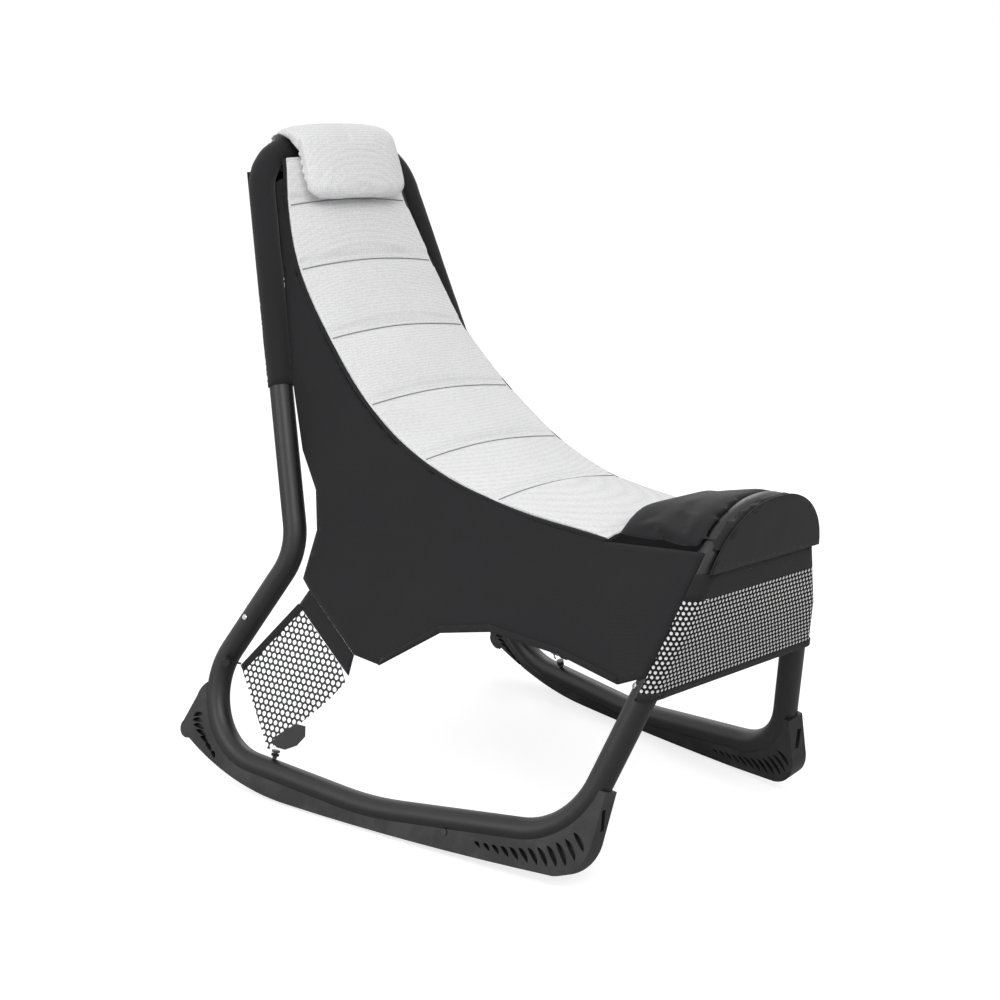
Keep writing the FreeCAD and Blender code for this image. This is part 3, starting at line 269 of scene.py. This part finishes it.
def linedNetMaterial(name, pitch, openness, yarn, lining):
    # Black net over a pale layer, which shows in every hole and hides the leg behind.
    material, tree, shader, holes = startMaterial(name, netHoles, {"Pitch": pitch, "Open": openness}, "UV")
    color = mixColor(tree, holes.outputs["Cover"], (*lining, 1), (*yarn, 1))
    tree.links.new(color, shader.inputs["Base Color"])
    shader.inputs["Roughness"].default_value = 0.8
    shader.inputs["Specular IOR Level"].default_value = 0.2
    addBump(tree, shader, holes.outputs["Height"], 0.8, 0.0012)
    return material


def hardMaterial(name, base, dust, amount, gloss, grain, bump, metallic=0.0, coat=0.0):
    material, tree, shader, wear = startMaterial(name, surfaceWear, {
        "Grain": grain, "Base": (*base, 1), "Dust": (*dust, 1), "Dust Amount": amount, "Gloss": gloss})
    tree.links.new(wear.outputs["Color"], shader.inputs["Base Color"])
    tree.links.new(wear.outputs["Roughness"], shader.inputs["Roughness"])
    shader.inputs["Metallic"].default_value = metallic
    shader.inputs["Coat Weight"].default_value = coat
    shader.inputs["Coat Roughness"].default_value = 0.3
    addBump(tree, shader, wear.outputs["Height"], 0.25, bump)
    return material


# In the woven finishes the darker colour partly stands for painted shade in the hollows of the weave.
canvasBlack = wovenMaterial("canvasBlack", (0.008, 0.008, 0.009), (0.024, 0.024, 0.026), 0.0012, 0.12)
tapeBlack = wovenMaterial("tapeBlack", (0.006, 0.006, 0.006), (0.03, 0.03, 0.032), 0.0026, 0.08)
# clothWhite's first colour is painted shade for the hollows between the knit's loops.
clothWhite = knitMaterial("clothWhite", (0.68, 0.68, 0.69), (0.90, 0.90, 0.90), 0.0034)
# The thread's grey is painted shade along the bottom of the pad's channels.
threadShadeGrey = wovenMaterial("threadShadeGrey", (0.16, 0.16, 0.16), (0.34, 0.34, 0.34), 0.001, 0.0)
netBlack = netMaterial("netBlack", 0.0092, -0.35)
netLined = linedNetMaterial("netLined", 0.0066, 0.35, (0.010, 0.010, 0.011), (0.78, 0.78, 0.78))
tubePaint = hardMaterial("tubePaint", (0.008, 0.008, 0.009), (0.03, 0.03, 0.03), 0.10, 0.42, 1400, 0.0002,
                         0.0, 0.08)
shoePlastic = hardMaterial("shoePlastic", (0.014, 0.014, 0.015), (0.11, 0.11, 0.11), 0.35, 0.45, 700, 0.0003)
tabPlastic = hardMaterial("tabPlastic", (0.02, 0.02, 0.02), (0.06, 0.06, 0.06), 0.2, 0.4, 900, 0.0002)
brightMetal = hardMaterial("brightMetal", (0.68, 0.68, 0.69), (0.4, 0.4, 0.4), 0.2, 0.28, 500, 0.0001, 1.0)
darkMetal = hardMaterial("darkMetal", (0.05, 0.05, 0.052), (0.2, 0.2, 0.2), 0.2, 0.35, 500, 0.0001, 0.6)
print("materials made")


# Pieces that keep their CAD shape

hardFinishes = {
    tubePaint: ["side_tube_left", "side_tube_right", "back_hoop", "front_hoop"],
    shoePlastic: ["rocker_shoe_left", "rocker_shoe_right"],
    brightMetal: ["snap_button_front_left", "snap_button_front_right", "snap_button_rear_left",
                  "snap_button_rear_right", "snap_clips"],
    darkMetal: ["shoe_screws", "flap_studs"],
}
for finish, nodes in hardFinishes.items():
    for node in nodes:
        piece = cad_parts[node]
        if not piece.material_slots:
            piece.data.materials.append(finish)
        for slot in piece.material_slots:
            slot.material = finish


# Mesh helpers

weld = 0.00002  # points nearer than this are one
skin = {"rayStart": 0.00005, "rayReach": 0.05, "slack": 1.35, "turned": 0.05}
creases = {"fade": 0.03, "second": 0.4, "finer": 2.3}


def cadCopy(node):
    mesh = bmesh.new()
    mesh.from_mesh(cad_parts[node].data)
    bmesh.ops.remove_doubles(mesh, verts=mesh.verts, dist=weld)
    mesh.normal_update()
    return mesh


def makePiece(name, mesh, finish, node, body):
    data = bpy.data.meshes.new(name)
    mesh.to_mesh(data)
    mesh.free()
    for polygon in data.polygons:
        polygon.use_smooth = True
    piece = bpy.data.objects.new(name, data)
    scene.collection.objects.link(piece)
    data.materials.append(finish)
    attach(piece, body)
    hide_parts(node)
    return piece


def islands(mesh):
    found = []
    seen = set()
    for first in mesh.faces:
        if first in seen:
            continue
        group = []
        waiting = [first]
        seen.add(first)
        while waiting:
            face = waiting.pop()
            group.append(face)
            for edge in face.edges:
                for other in edge.link_faces:
                    if other not in seen:
                        seen.add(other)
                        waiting.append(other)
        found.append(group)
    return found


def outerSkin(node, thick, outward, oneWay=False):
    # Of a sheet's two faces, the one that looks outward. Its rim has no cloth close behind it.
    mesh = cadCopy(node)
    tree = BVHTree.FromBMesh(mesh)
    rims = []
    for face in mesh.faces:
        start = face.calc_center_median() - face.normal * skin["rayStart"]
        hit = tree.ray_cast(start, -face.normal, skin["rayReach"])
        turnedAway = oneWay and face.normal.dot(outward) < skin["turned"]
        if hit[0] is None or hit[3] > thick * skin["slack"] or turnedAway:
            rims.append(face)
    bmesh.ops.delete(mesh, geom=rims, context="FACES")
    groups = islands(mesh)
    best = max(groups, key=lambda group: sum(f.calc_area() * f.normal.dot(outward) for f in group))
    drop = [face for group in groups if group is not best for face in group]
    bmesh.ops.delete(mesh, geom=drop, context="FACES")
    loose = [vert for vert in mesh.verts if not vert.link_faces]
    bmesh.ops.delete(mesh, geom=loose, context="VERTS")
    return mesh


def boundaryLoops(mesh):
    waiting = {edge for edge in mesh.edges if edge.is_boundary}
    loops = []
    while waiting:
        edge = waiting.pop()
        loop = [edge.verts[0], edge.verts[1]]
        while True:
            step = next((e for e in loop[-1].link_edges if e in waiting), None)
            if step is None:
                break
            waiting.discard(step)
            loop.append(step.other_vert(loop[-1]))
        if loop[0] is loop[-1]:
            loop.pop()
        loops.append(loop)
    return sorted(loops, key=lambda loop: -sum((a.co - b.co).length for a, b in zip(loop, loop[1:])))


def closeHoles(mesh):
    outline = set(boundaryLoops(mesh)[0])
    inner = [edge for edge in mesh.edges if edge.is_boundary and not outline.issuperset(edge.verts)]
    bmesh.ops.holes_fill(mesh, edges=inner, sides=0)
    bmesh.ops.recalc_face_normals(mesh, faces=mesh.faces)


def refine(mesh, step, rounds=7):
    bmesh.ops.triangulate(mesh, faces=mesh.faces)
    for turn in range(rounds):
        long = [edge for edge in mesh.edges if edge.calc_length() > step]
        if not long:
            break
        bmesh.ops.subdivide_edges(mesh, edges=long, cuts=1)
        bmesh.ops.triangulate(mesh, faces=[face for face in mesh.faces if len(face.verts) > 3])


def relax(mesh, rounds):
    inner = [vert for vert in mesh.verts if not vert.is_boundary]
    for turn in range(rounds):
        bmesh.ops.smooth_vert(mesh, verts=inner, factor=0.5, use_axis_x=True, use_axis_y=True,
                              use_axis_z=True)


def facing(mesh, outward):
    mesh.normal_update()
    if sum(face.calc_area() * face.normal.dot(outward) for face in mesh.faces) < 0:
        bmesh.ops.reverse_faces(mesh, faces=mesh.faces)
        mesh.normal_update()


def crease(mesh, height, size, stretch):
    # Low, long folds that fade out at the sewn edges.
    mesh.normal_update()
    edges = [vert.co.copy() for vert in mesh.verts if vert.is_boundary]
    if not edges:
        return
    count = len(edges)
    border = BVHTree.FromPolygons([*edges, *edges], [(i, i + count, i) for i in range(count)])
    for vert in mesh.verts:
        near = border.find_nearest(vert.co)
        fade = min(1.0, near[3] / creases["fade"]) if near[0] is not None else 1.0
        place = Vector((vert.co.x * stretch[0], vert.co.y * stretch[1], vert.co.z * stretch[2])) / size
        fold = noise.noise(place) + creases["second"] * noise.noise(place * creases["finer"])
        vert.co += vert.normal * height * fold * fade


def layUv(mesh, across, up):
    layer = mesh.loops.layers.uv.new("flat")
    for face in mesh.faces:
        for loop in face.loops:
            loop[layer].uv = (loop.vert.co.dot(across), loop.vert.co.dot(up))


def tuckUnderPad(mesh, tuck):
    # The canvas edge beside the pad goes in and a little down.
    padMesh = cadCopy("quilted_pad")
    padTree = BVHTree.FromBMesh(padMesh)
    padMesh.free()
    for vert in mesh.verts:
        if vert.is_boundary and padTree.find_nearest(vert.co)[3] < canvas["padReach"]:
            vert.co.x -= math.copysign(tuck, vert.co.x)
            vert.co.z -= tuck * canvas["tuckDown"]


def sheetPiece(name, node, finish, body, thick, outward, step=0.012, smoothing=0, folds=None,
               net=None, shell=None, tuck=0.0, oneWay=False):
    mesh = outerSkin(node, thick, outward, oneWay)
    if net:
        closeHoles(mesh)
    refine(mesh, step)
    if smoothing:
        relax(mesh, smoothing)
    facing(mesh, outward)
    if folds:
        crease(mesh, *folds)
    if tuck:
        tuckUnderPad(mesh, tuck)
    if net:
        layUv(mesh, *net)
    area = sum(face.calc_area() for face in mesh.faces)
    piece = makePiece(name, mesh, finish, node, body)
    if not net:
        thickness = piece.modifiers.new("thickness", "SOLIDIFY")
        thickness.thickness = shell or thick
        thickness.offset = -1
    return piece


# Canvas, net and tape

outerNormal = {hand: Vector((side, -0.153, 0.295)).normalized() for hand, side in hands.items()}
rearNormal = Vector((0, 0.951, -0.310))
frontNormal = Vector((0, -1, 0))
canvas = {"thick": 0.0016, "netThick": 0.0014, "foldHeight": 0.003, "foldSize": 0.09, "smoothing": 12,
          "tuck": 0.004, "tuckDown": 0.3, "padReach": 0.003}
tape = {"width": 0.009, "thick": 0.0015, "lowerThick": 0.0025, "lowerShell": 0.0016, "bandWidth": 0.030,
        "sheetWidth": 0.01}
sling = {"thick": 0.0018, "shell": 0.0014, "folds": (0.001, 0.08, (1, 1, 1))}
rearFlap = {"thick": 0.0026, "folds": (0.0012, 0.05, (1, 1, 1))}

for hand, outward in outerNormal.items():
    ahead = Vector((0.14 * hands[hand], 0.99, 0)).normalized()
    up = outward.cross(ahead)
    sheetPiece("sidePanel_" + hand, "side_panel_" + hand, canvasBlack, "chair", canvas["thick"], outward,
               smoothing=canvas["smoothing"], folds=(canvas["foldHeight"], canvas["foldSize"], (1, 0.5, 1.4)),
               tuck=canvas["tuck"])
    sheetPiece("lowerBinding_" + hand, "lower_binding_" + hand, tapeBlack, "chair", tape["lowerThick"],
               outward, shell=tape["lowerShell"])
    sheetPiece("meshFlap_" + hand, "mesh_flap_" + hand, netBlack, "chair", canvas["netThick"], outward,
               net=(ahead, up))
    sheetPiece("flapBand_" + hand, "flap_band_" + hand, canvasBlack, "chair", canvas["thick"], outward)
    sheetPiece("flapBinding_" + hand, "flap_binding_" + hand, tapeBlack, "chair", tape["thick"], outward)
    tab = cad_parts["pull_tab_" + hand]
    for slot in tab.material_slots:
        slot.material = tabPlastic

sheetPiece("frontPanel", "front_panel", canvasBlack, "chair", canvas["thick"], frontNormal,
           folds=(0.001, 0.05, (1, 1, 1)))
sheetPiece("webbingBand", "webbing_band", tapeBlack, "chair", canvas["thick"], frontNormal)


# reach is the net's distance from the leg's axis, back the angle at which it starts behind the leg
apron = {"low": 0.236, "bend": 0.300, "high": 0.351, "rows": 18, "reach": 0.0194, "back": -8.0,
         "turns": 8, "halfSteps": 12}


def frontLegAxis(z):
    # Each front leg leans in and forward, and bends once.
    bendX, bendY = 0.12414, -0.36256
    above = z - apron["bend"]
    if above < 0:
        return bendX - 0.3422 * above, bendY - 0.313 * above
    return bendX - 0.4257 * above, bendY - 0.2154 * above


def netApron():
    mesh = bmesh.new()
    layer = mesh.loops.layers.uv.new("flat")
    rows = []
    for row in range(apron["rows"] + 1):
        z = apron["low"] + (apron["high"] - apron["low"]) * row / apron["rows"]
        legX, legY = frontLegAxis(z)
        half = []
        for place in range(apron["turns"] + 1):
            turn = math.radians(apron["back"] + (-90 - apron["back"]) * place / apron["turns"])
            half.append((legX + math.cos(turn) * apron["reach"], legY + math.sin(turn) * apron["reach"]))
        steps = apron["halfSteps"]
        front = [(legX * (1 - k / steps), half[-1][1]) for k in range(1, 2 * steps)]
        line = half + front + [(-x, y) for x, y in half[::-1]]
        along = [0.0]
        for first, second in zip(line, line[1:]):
            along.append(along[-1] + math.hypot(second[0] - first[0], second[1] - first[1]))
        middle = along[-1] / 2
        rows.append([(mesh.verts.new((x, y, z)), run - middle, z) for (x, y), run in zip(line, along)])
    for lower, upper in zip(rows, rows[1:]):
        for k in range(len(lower) - 1):
            corners = [lower[k], upper[k], upper[k + 1], lower[k + 1]]
            face = mesh.faces.new([corner[0] for corner in corners])
            for loop, corner in zip(face.loops, corners):
                loop[layer].uv = (corner[1], corner[2])
    facing(mesh, frontNormal)
    area = sum(face.calc_area() for face in mesh.faces)
    piece = makePiece("frontMesh", mesh, netLined, "front_mesh", "chair")


netApron()
sheetPiece("frontMeshBinding", "front_mesh_binding", tapeBlack, "chair", tape["thick"], frontNormal)
sheetPiece("seatSling", "seat_sling", canvasBlack, "chair", sling["thick"], Vector((0, 0.6, -1)),
           folds=sling["folds"], shell=sling["shell"],
           oneWay=True)
sheetPiece("rearYoke", "rear_yoke", canvasBlack, "chair", canvas["thick"], rearNormal,
           folds=(0.0012, 0.07, (1, 1, 1)))
sheetPiece("backMesh", "back_mesh_panel", netBlack, "chair", canvas["netThick"], rearNormal,
           net=(Vector((1, 0, 0)), Vector((0, 0.31, 0.951))))
sheetPiece("pillowBackFlap", "pillow_back_flap", clothWhite, "pillow", rearFlap["thick"], rearNormal,
           folds=rearFlap["folds"])
print("sheets made")


# Stuffed pieces, filled by a cloth simulation

pad = {
    # middle of each sewn line: y, z and half width, from the top to the knees
    "seams": [(0.368, 0.836, 0.098), (0.352, 0.770, 0.108), (0.311, 0.684, 0.122), (0.245, 0.594, 0.124),
              (0.157, 0.513, 0.130), (0.055, 0.452, 0.126), (-0.067, 0.415, 0.113), (-0.248, 0.398, 0.108)],
    "tilt": 38.0, "seamWidth": 0.005, "grain": 0.007, "pressure": 4.0, "cap": 0.007, "start": 0.0,
    "voxels": False, "seamDepth": 0.007, "valley": 0.012, "seamReach": 0.06, "slingClear": 0.003,
    "sharp": 1.5}
roll = {"grain": 0.005, "pressure": 3.0, "cap": 0.004, "start": 0.002, "voxels": True, "fill": 0.8}
pillow = {"grain": 0.004, "pressure": 4.0, "cap": 0.008, "start": 0.003, "voxels": True, "fill": 0.8}
filling = {"frames": 20, "quality": 5, "heldWithin": 0.006}


def seamPlanes():
    points = [Vector((0, y, z)) for y, z, half in pad["seams"]]
    tilt = math.radians(pad["tilt"])
    planes = []
    for index, point in enumerate(points):
        before = points[max(0, index - 1)]
        after = points[min(len(points) - 1, index + 1)]
        back = (before - after).normalized()
        normal = Vector((0, -back.z, back.y))
        lift = normal * math.cos(tilt) + back * math.sin(tilt)
        planes.append((point, Vector((0, -lift.z, lift.y))))
    return planes


sewnLines = seamPlanes()


def nearSeam(point):
    best = 1.0
    for middle, normal in sewnLines:
        away = point - middle
        if Vector((0, away.y, away.z)).length < pad["seamReach"]:
            best = min(best, abs(away.dot(normal)))
    return best


def pressSeams(piece):
    # The sewn lines pull the top cloth down in shallow valleys with a sharp bottom.
    slingMesh = cadCopy("seat_sling")
    under = BVHTree.FromBMesh(slingMesh)
    slingMesh.free()
    for vert in piece.data.vertices:
        point = Vector(vert.co)
        away = nearSeam(point)
        if away > pad["valley"]:
            continue
        hit = under.find_nearest(point)
        depth = pad["seamDepth"] * (1 - away / pad["valley"]) ** pad["sharp"]
        room = max(0.0, hit[3] - pad["slingClear"])
        towards = (hit[0] - point).normalized()
        vert.co = point + towards * min(depth, room)


def draftCopy(node, values):
    mesh = cadCopy(node)
    if not values["voxels"]:
        refine(mesh, values["grain"], 9)
        mesh.normal_update()
    for vert in mesh.verts:
        vert.co -= vert.normal * values["start"]
    data = bpy.data.meshes.new(node + "_draft")
    mesh.to_mesh(data)
    mesh.free()
    draft = bpy.data.objects.new(node + "_draft", data)
    scene.collection.objects.link(draft)
    if values["voxels"]:
        cells = draft.modifiers.new("cells", "REMESH")
        cells.mode = "VOXEL"
        cells.voxel_size = values["grain"]
        soften = draft.modifiers.new("soften", "SMOOTH")
        soften.iterations = 3
    return draft


def bake(piece):
    graph = bpy.context.evaluated_depsgraph_get()
    data = bpy.data.meshes.new_from_object(piece.evaluated_get(graph))
    piece.modifiers.clear()
    piece.data = data


def stuff(name, node, finish, body, values, rests, sewn=None):
    piece = draftCopy(node, values)
    bake(piece)
    piece.name = name
    trees = []
    for other in rests:
        mesh = cadCopy(other)
        trees.append(BVHTree.FromBMesh(mesh))
        mesh.free()
    held = piece.vertex_groups.new(name="held")
    for vert in piece.data.vertices:
        point = Vector(vert.co)
        close = min((tree.find_nearest(point)[3] for tree in trees), default=1.0)
        if close < filling["heldWithin"] or (sewn and sewn(point) < pad["seamWidth"]):
            held.add([vert.index], 1.0, "REPLACE")
    startPoints = [Vector(vert.co) for vert in piece.data.vertices]
    cloth = piece.modifiers.new("fill", "CLOTH")
    cloth.settings.use_pressure = True
    cloth.settings.uniform_pressure_force = values["pressure"]
    cloth.settings.effector_weights.gravity = 0
    cloth.settings.vertex_group_mass = "held"
    cloth.settings.quality = filling["quality"]
    cloth.point_cache.frame_start = 1
    cloth.point_cache.frame_end = filling["frames"]
    for step in range(1, filling["frames"] + 1):
        scene.frame_set(step)
    bake(piece)
    scene.frame_set(1)
    for vert, start in zip(piece.data.vertices, startPoints):
        moved = Vector(vert.co) - start
        if moved.length > values["cap"]:
            vert.co = start + moved * (values["cap"] / moved.length)
    piece.vertex_groups.clear()
    finer = piece.modifiers.new("finer", "SUBSURF")
    finer.levels = 1
    finer.render_levels = 1
    bake(piece)
    if sewn:
        pressSeams(piece)
    piece.data.materials.clear()
    piece.data.materials.append(finish)
    for polygon in piece.data.polygons:
        polygon.use_smooth = True
        polygon.material_index = 0
    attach(piece, body)
    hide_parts(node)
    print("stuffed", name, len(piece.data.vertices))
    return piece


quiltedPad = stuff("quiltedPad", "quilted_pad", clothWhite, "chair", pad, ["seat_sling"], nearSeam)
thread = {"radius": 0.0009, "inset": 0.004, "above": 0.08, "reach": 0.12, "lift": 0.0001, "halfSteps": 16}
edgeShadeCord = {"radius": 0.0026, "outset": 0.0012}  # a dark cord that closes the gap beside the pad and stands in for the thin shadow line along its edge, as painted shade


def threadCurve(name, points, radius, finish, smooth):
    data = bpy.data.curves.new(name, "CURVE")
    data.dimensions = "3D"
    data.bevel_depth = radius
    data.bevel_resolution = 2
    spline = data.splines.new("BEZIER" if smooth else "POLY")
    knots = spline.bezier_points if smooth else spline.points
    knots.add(len(points) - 1)
    for knot, point in zip(knots, points):
        if smooth:
            knot.co = point
            knot.handle_left_type = "AUTO"
            knot.handle_right_type = "AUTO"
        else:
            knot.co = (*point, 1.0)
    data.materials.append(finish)
    piece = bpy.data.objects.new(name, data)
    scene.collection.objects.link(piece)
    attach(piece, "chair")
    return piece


def sewingThreads():
    # Thread in the bottom of each channel, laid on the finished cloth. Its grey is painted shade that darkens
    # the seam valleys.
    mesh = bmesh.new()
    mesh.from_mesh(quiltedPad.data)
    top = BVHTree.FromBMesh(mesh)
    mesh.free()
    for index in range(1, len(pad["seams"]) - 1):
        middle, normal = sewnLines[index]
        half = pad["seams"][index][2] - thread["inset"]
        lift = Vector((0, normal.z, -normal.y))
        if lift.z < 0:
            lift = -lift
        points = []
        for step in range(2 * thread["halfSteps"] + 1):
            across = half * (step / thread["halfSteps"] - 1)
            place = Vector((across, middle.y, middle.z)) + lift * thread["above"]
            hit = top.ray_cast(place, -lift, thread["reach"])
            if hit[0] is not None:
                points.append(hit[0] + lift * thread["lift"])
        threadCurve("sewnLine_%d" % index, points, thread["radius"], threadShadeGrey, False)


sewingThreads()
# A dark cord along each side of the pad. It closes the gap there and is painted shade standing in for the
# thin shadow line along the pad's edge.
for hand, side in hands.items():
    edge = [(side * (half + edgeShadeCord["outset"]), y, z) for y, z, half in pad["seams"]]
    threadCurve("padEdgeShadeCord_" + hand, edge, edgeShadeCord["radius"], canvasBlack, True)
stuff("kneeRoll", "knee_roll", canvasBlack, "chair", roll, ["front_hoop", "front_panel"], None)

stuff("headPillow", "head_pillow", clothWhite, "pillow", pillow, ["hoop_sleeve"], None)


# Sleeve and loops

sleeveCloth = {"step": 0.010, "height": 0.0006, "size": 0.02}
loopTape = {"step": 0.002, "height": 0.0001, "size": 0.003}


def softSolid(name, node, finish, values):
    mesh = cadCopy(node)
    refine(mesh, values["step"])
    mesh.normal_update()
    for vert in mesh.verts:
        vert.co += vert.normal * values["height"] * noise.noise(vert.co / values["size"])
    makePiece(name, mesh, finish, node, "chair")


softSolid("hoopSleeve", "hoop_sleeve", canvasBlack, sleeveCloth)
softSolid("flapLoops", "flap_loops", tapeBlack, loopTape)
print("soft pieces made")


# Floor, light and camera

studio = {"floor": (0.5, 0.5, 0.5), "sweep": 0.74, "world": 0.66, "reach": 30.0, "drop": 0.0005}
lamps = {
    # place, target, size and power
    "key": ((-1.6, -2.2, 2.6), (0, 0, 0.4), 1.8, 42.0),
    "fill": ((-2.8, 0.6, 1.6), (0, 0, 0.4), 1.6, 18.0),
    "rim": ((2.0, 1.6, 2.2), (0, 0, 0.5), 1.4, 15.0),
}


def floorMaterial():
    # A white sweep that still takes the chair's soft shadow.
    material = bpy.data.materials.new("floorPale")
    material.use_nodes = True
    tree = material.node_tree
    tree.nodes.clear()
    matte = tree.nodes.new("ShaderNodeBsdfDiffuse")
    matte.inputs["Color"].default_value = (*studio["floor"], 1)
    glow = tree.nodes.new("ShaderNodeEmission")
    rays = tree.nodes.new("ShaderNodeLightPath")
    shows = math2(tree, "MAXIMUM", rays.outputs["Is Camera Ray"],
                  rays.outputs["Is Transmission Ray"])
    tree.links.new(math2(tree, "MULTIPLY", shows, studio["sweep"]), glow.inputs["Strength"])
    both = tree.nodes.new("ShaderNodeAddShader")
    result = tree.nodes.new("ShaderNodeOutputMaterial")
    tree.links.new(matte.outputs[0], both.inputs[0])
    tree.links.new(glow.outputs[0], both.inputs[1])
    tree.links.new(both.outputs[0], result.inputs["Surface"])
    return material


data = bpy.data.meshes.new("floor")
reach = studio["reach"]
corners = [(-reach, -reach, 0), (reach, -reach, 0), (reach, reach, 0), (-reach, reach, 0)]
data.from_pydata(corners, [], [(0, 1, 2, 3)])
floor = bpy.data.objects.new("floor", data)
floor.location.z = -studio["drop"]
scene.collection.objects.link(floor)
data.materials.append(floorMaterial())

world = bpy.data.worlds.new("studio")
scene.world = world
world.use_nodes = True
sky = world.node_tree
backdrop = sky.nodes["Background"]
rays = sky.nodes.new("ShaderNodeLightPath")
direct = math2(sky, "MAXIMUM", rays.outputs["Is Camera Ray"], rays.outputs["Is Glossy Ray"])
seen = math2(sky, "MAXIMUM", direct, rays.outputs["Is Transmission Ray"])
backdrop.inputs["Color"].default_value = (1, 1, 1, 1)
sky.links.new(ranged(sky, seen, 0, 1, studio["world"], 1.0), backdrop.inputs["Strength"])


def areaLight(name, place, target, size, power):
    data = bpy.data.lights.new(name, "AREA")
    data.shape = "SQUARE"
    data.size = size
    data.energy = power
    lamp = bpy.data.objects.new(name, data)
    lamp.location = place
    lamp.rotation_euler = (Vector(target) - Vector(place)).to_track_quat("-Z", "Y").to_euler()
    scene.collection.objects.link(lamp)


for name, (place, target, size, power) in lamps.items():
    areaLight(name, place, target, size, power)

lens = {"place": (-1.5877, -1.5524, 0.8792), "turn": 45.12, "down": 12.39, "length": 61.09, "sensor": 36.0}
turn = math.radians(lens["turn"])
down = math.radians(lens["down"])
look = Vector((math.cos(down) * math.cos(turn), math.cos(down) * math.sin(turn), -math.sin(down)))
data = bpy.data.cameras.new("camera")
data.lens = lens["length"]
data.sensor_width = lens["sensor"]
camera = bpy.data.objects.new("camera", data)
camera.location = lens["place"]
camera.rotation_euler = look.to_track_quat("-Z", "Y").to_euler()
scene.collection.objects.link(camera)
scene.camera = camera
scene.view_settings.view_transform = "Standard"
print("studio ready")
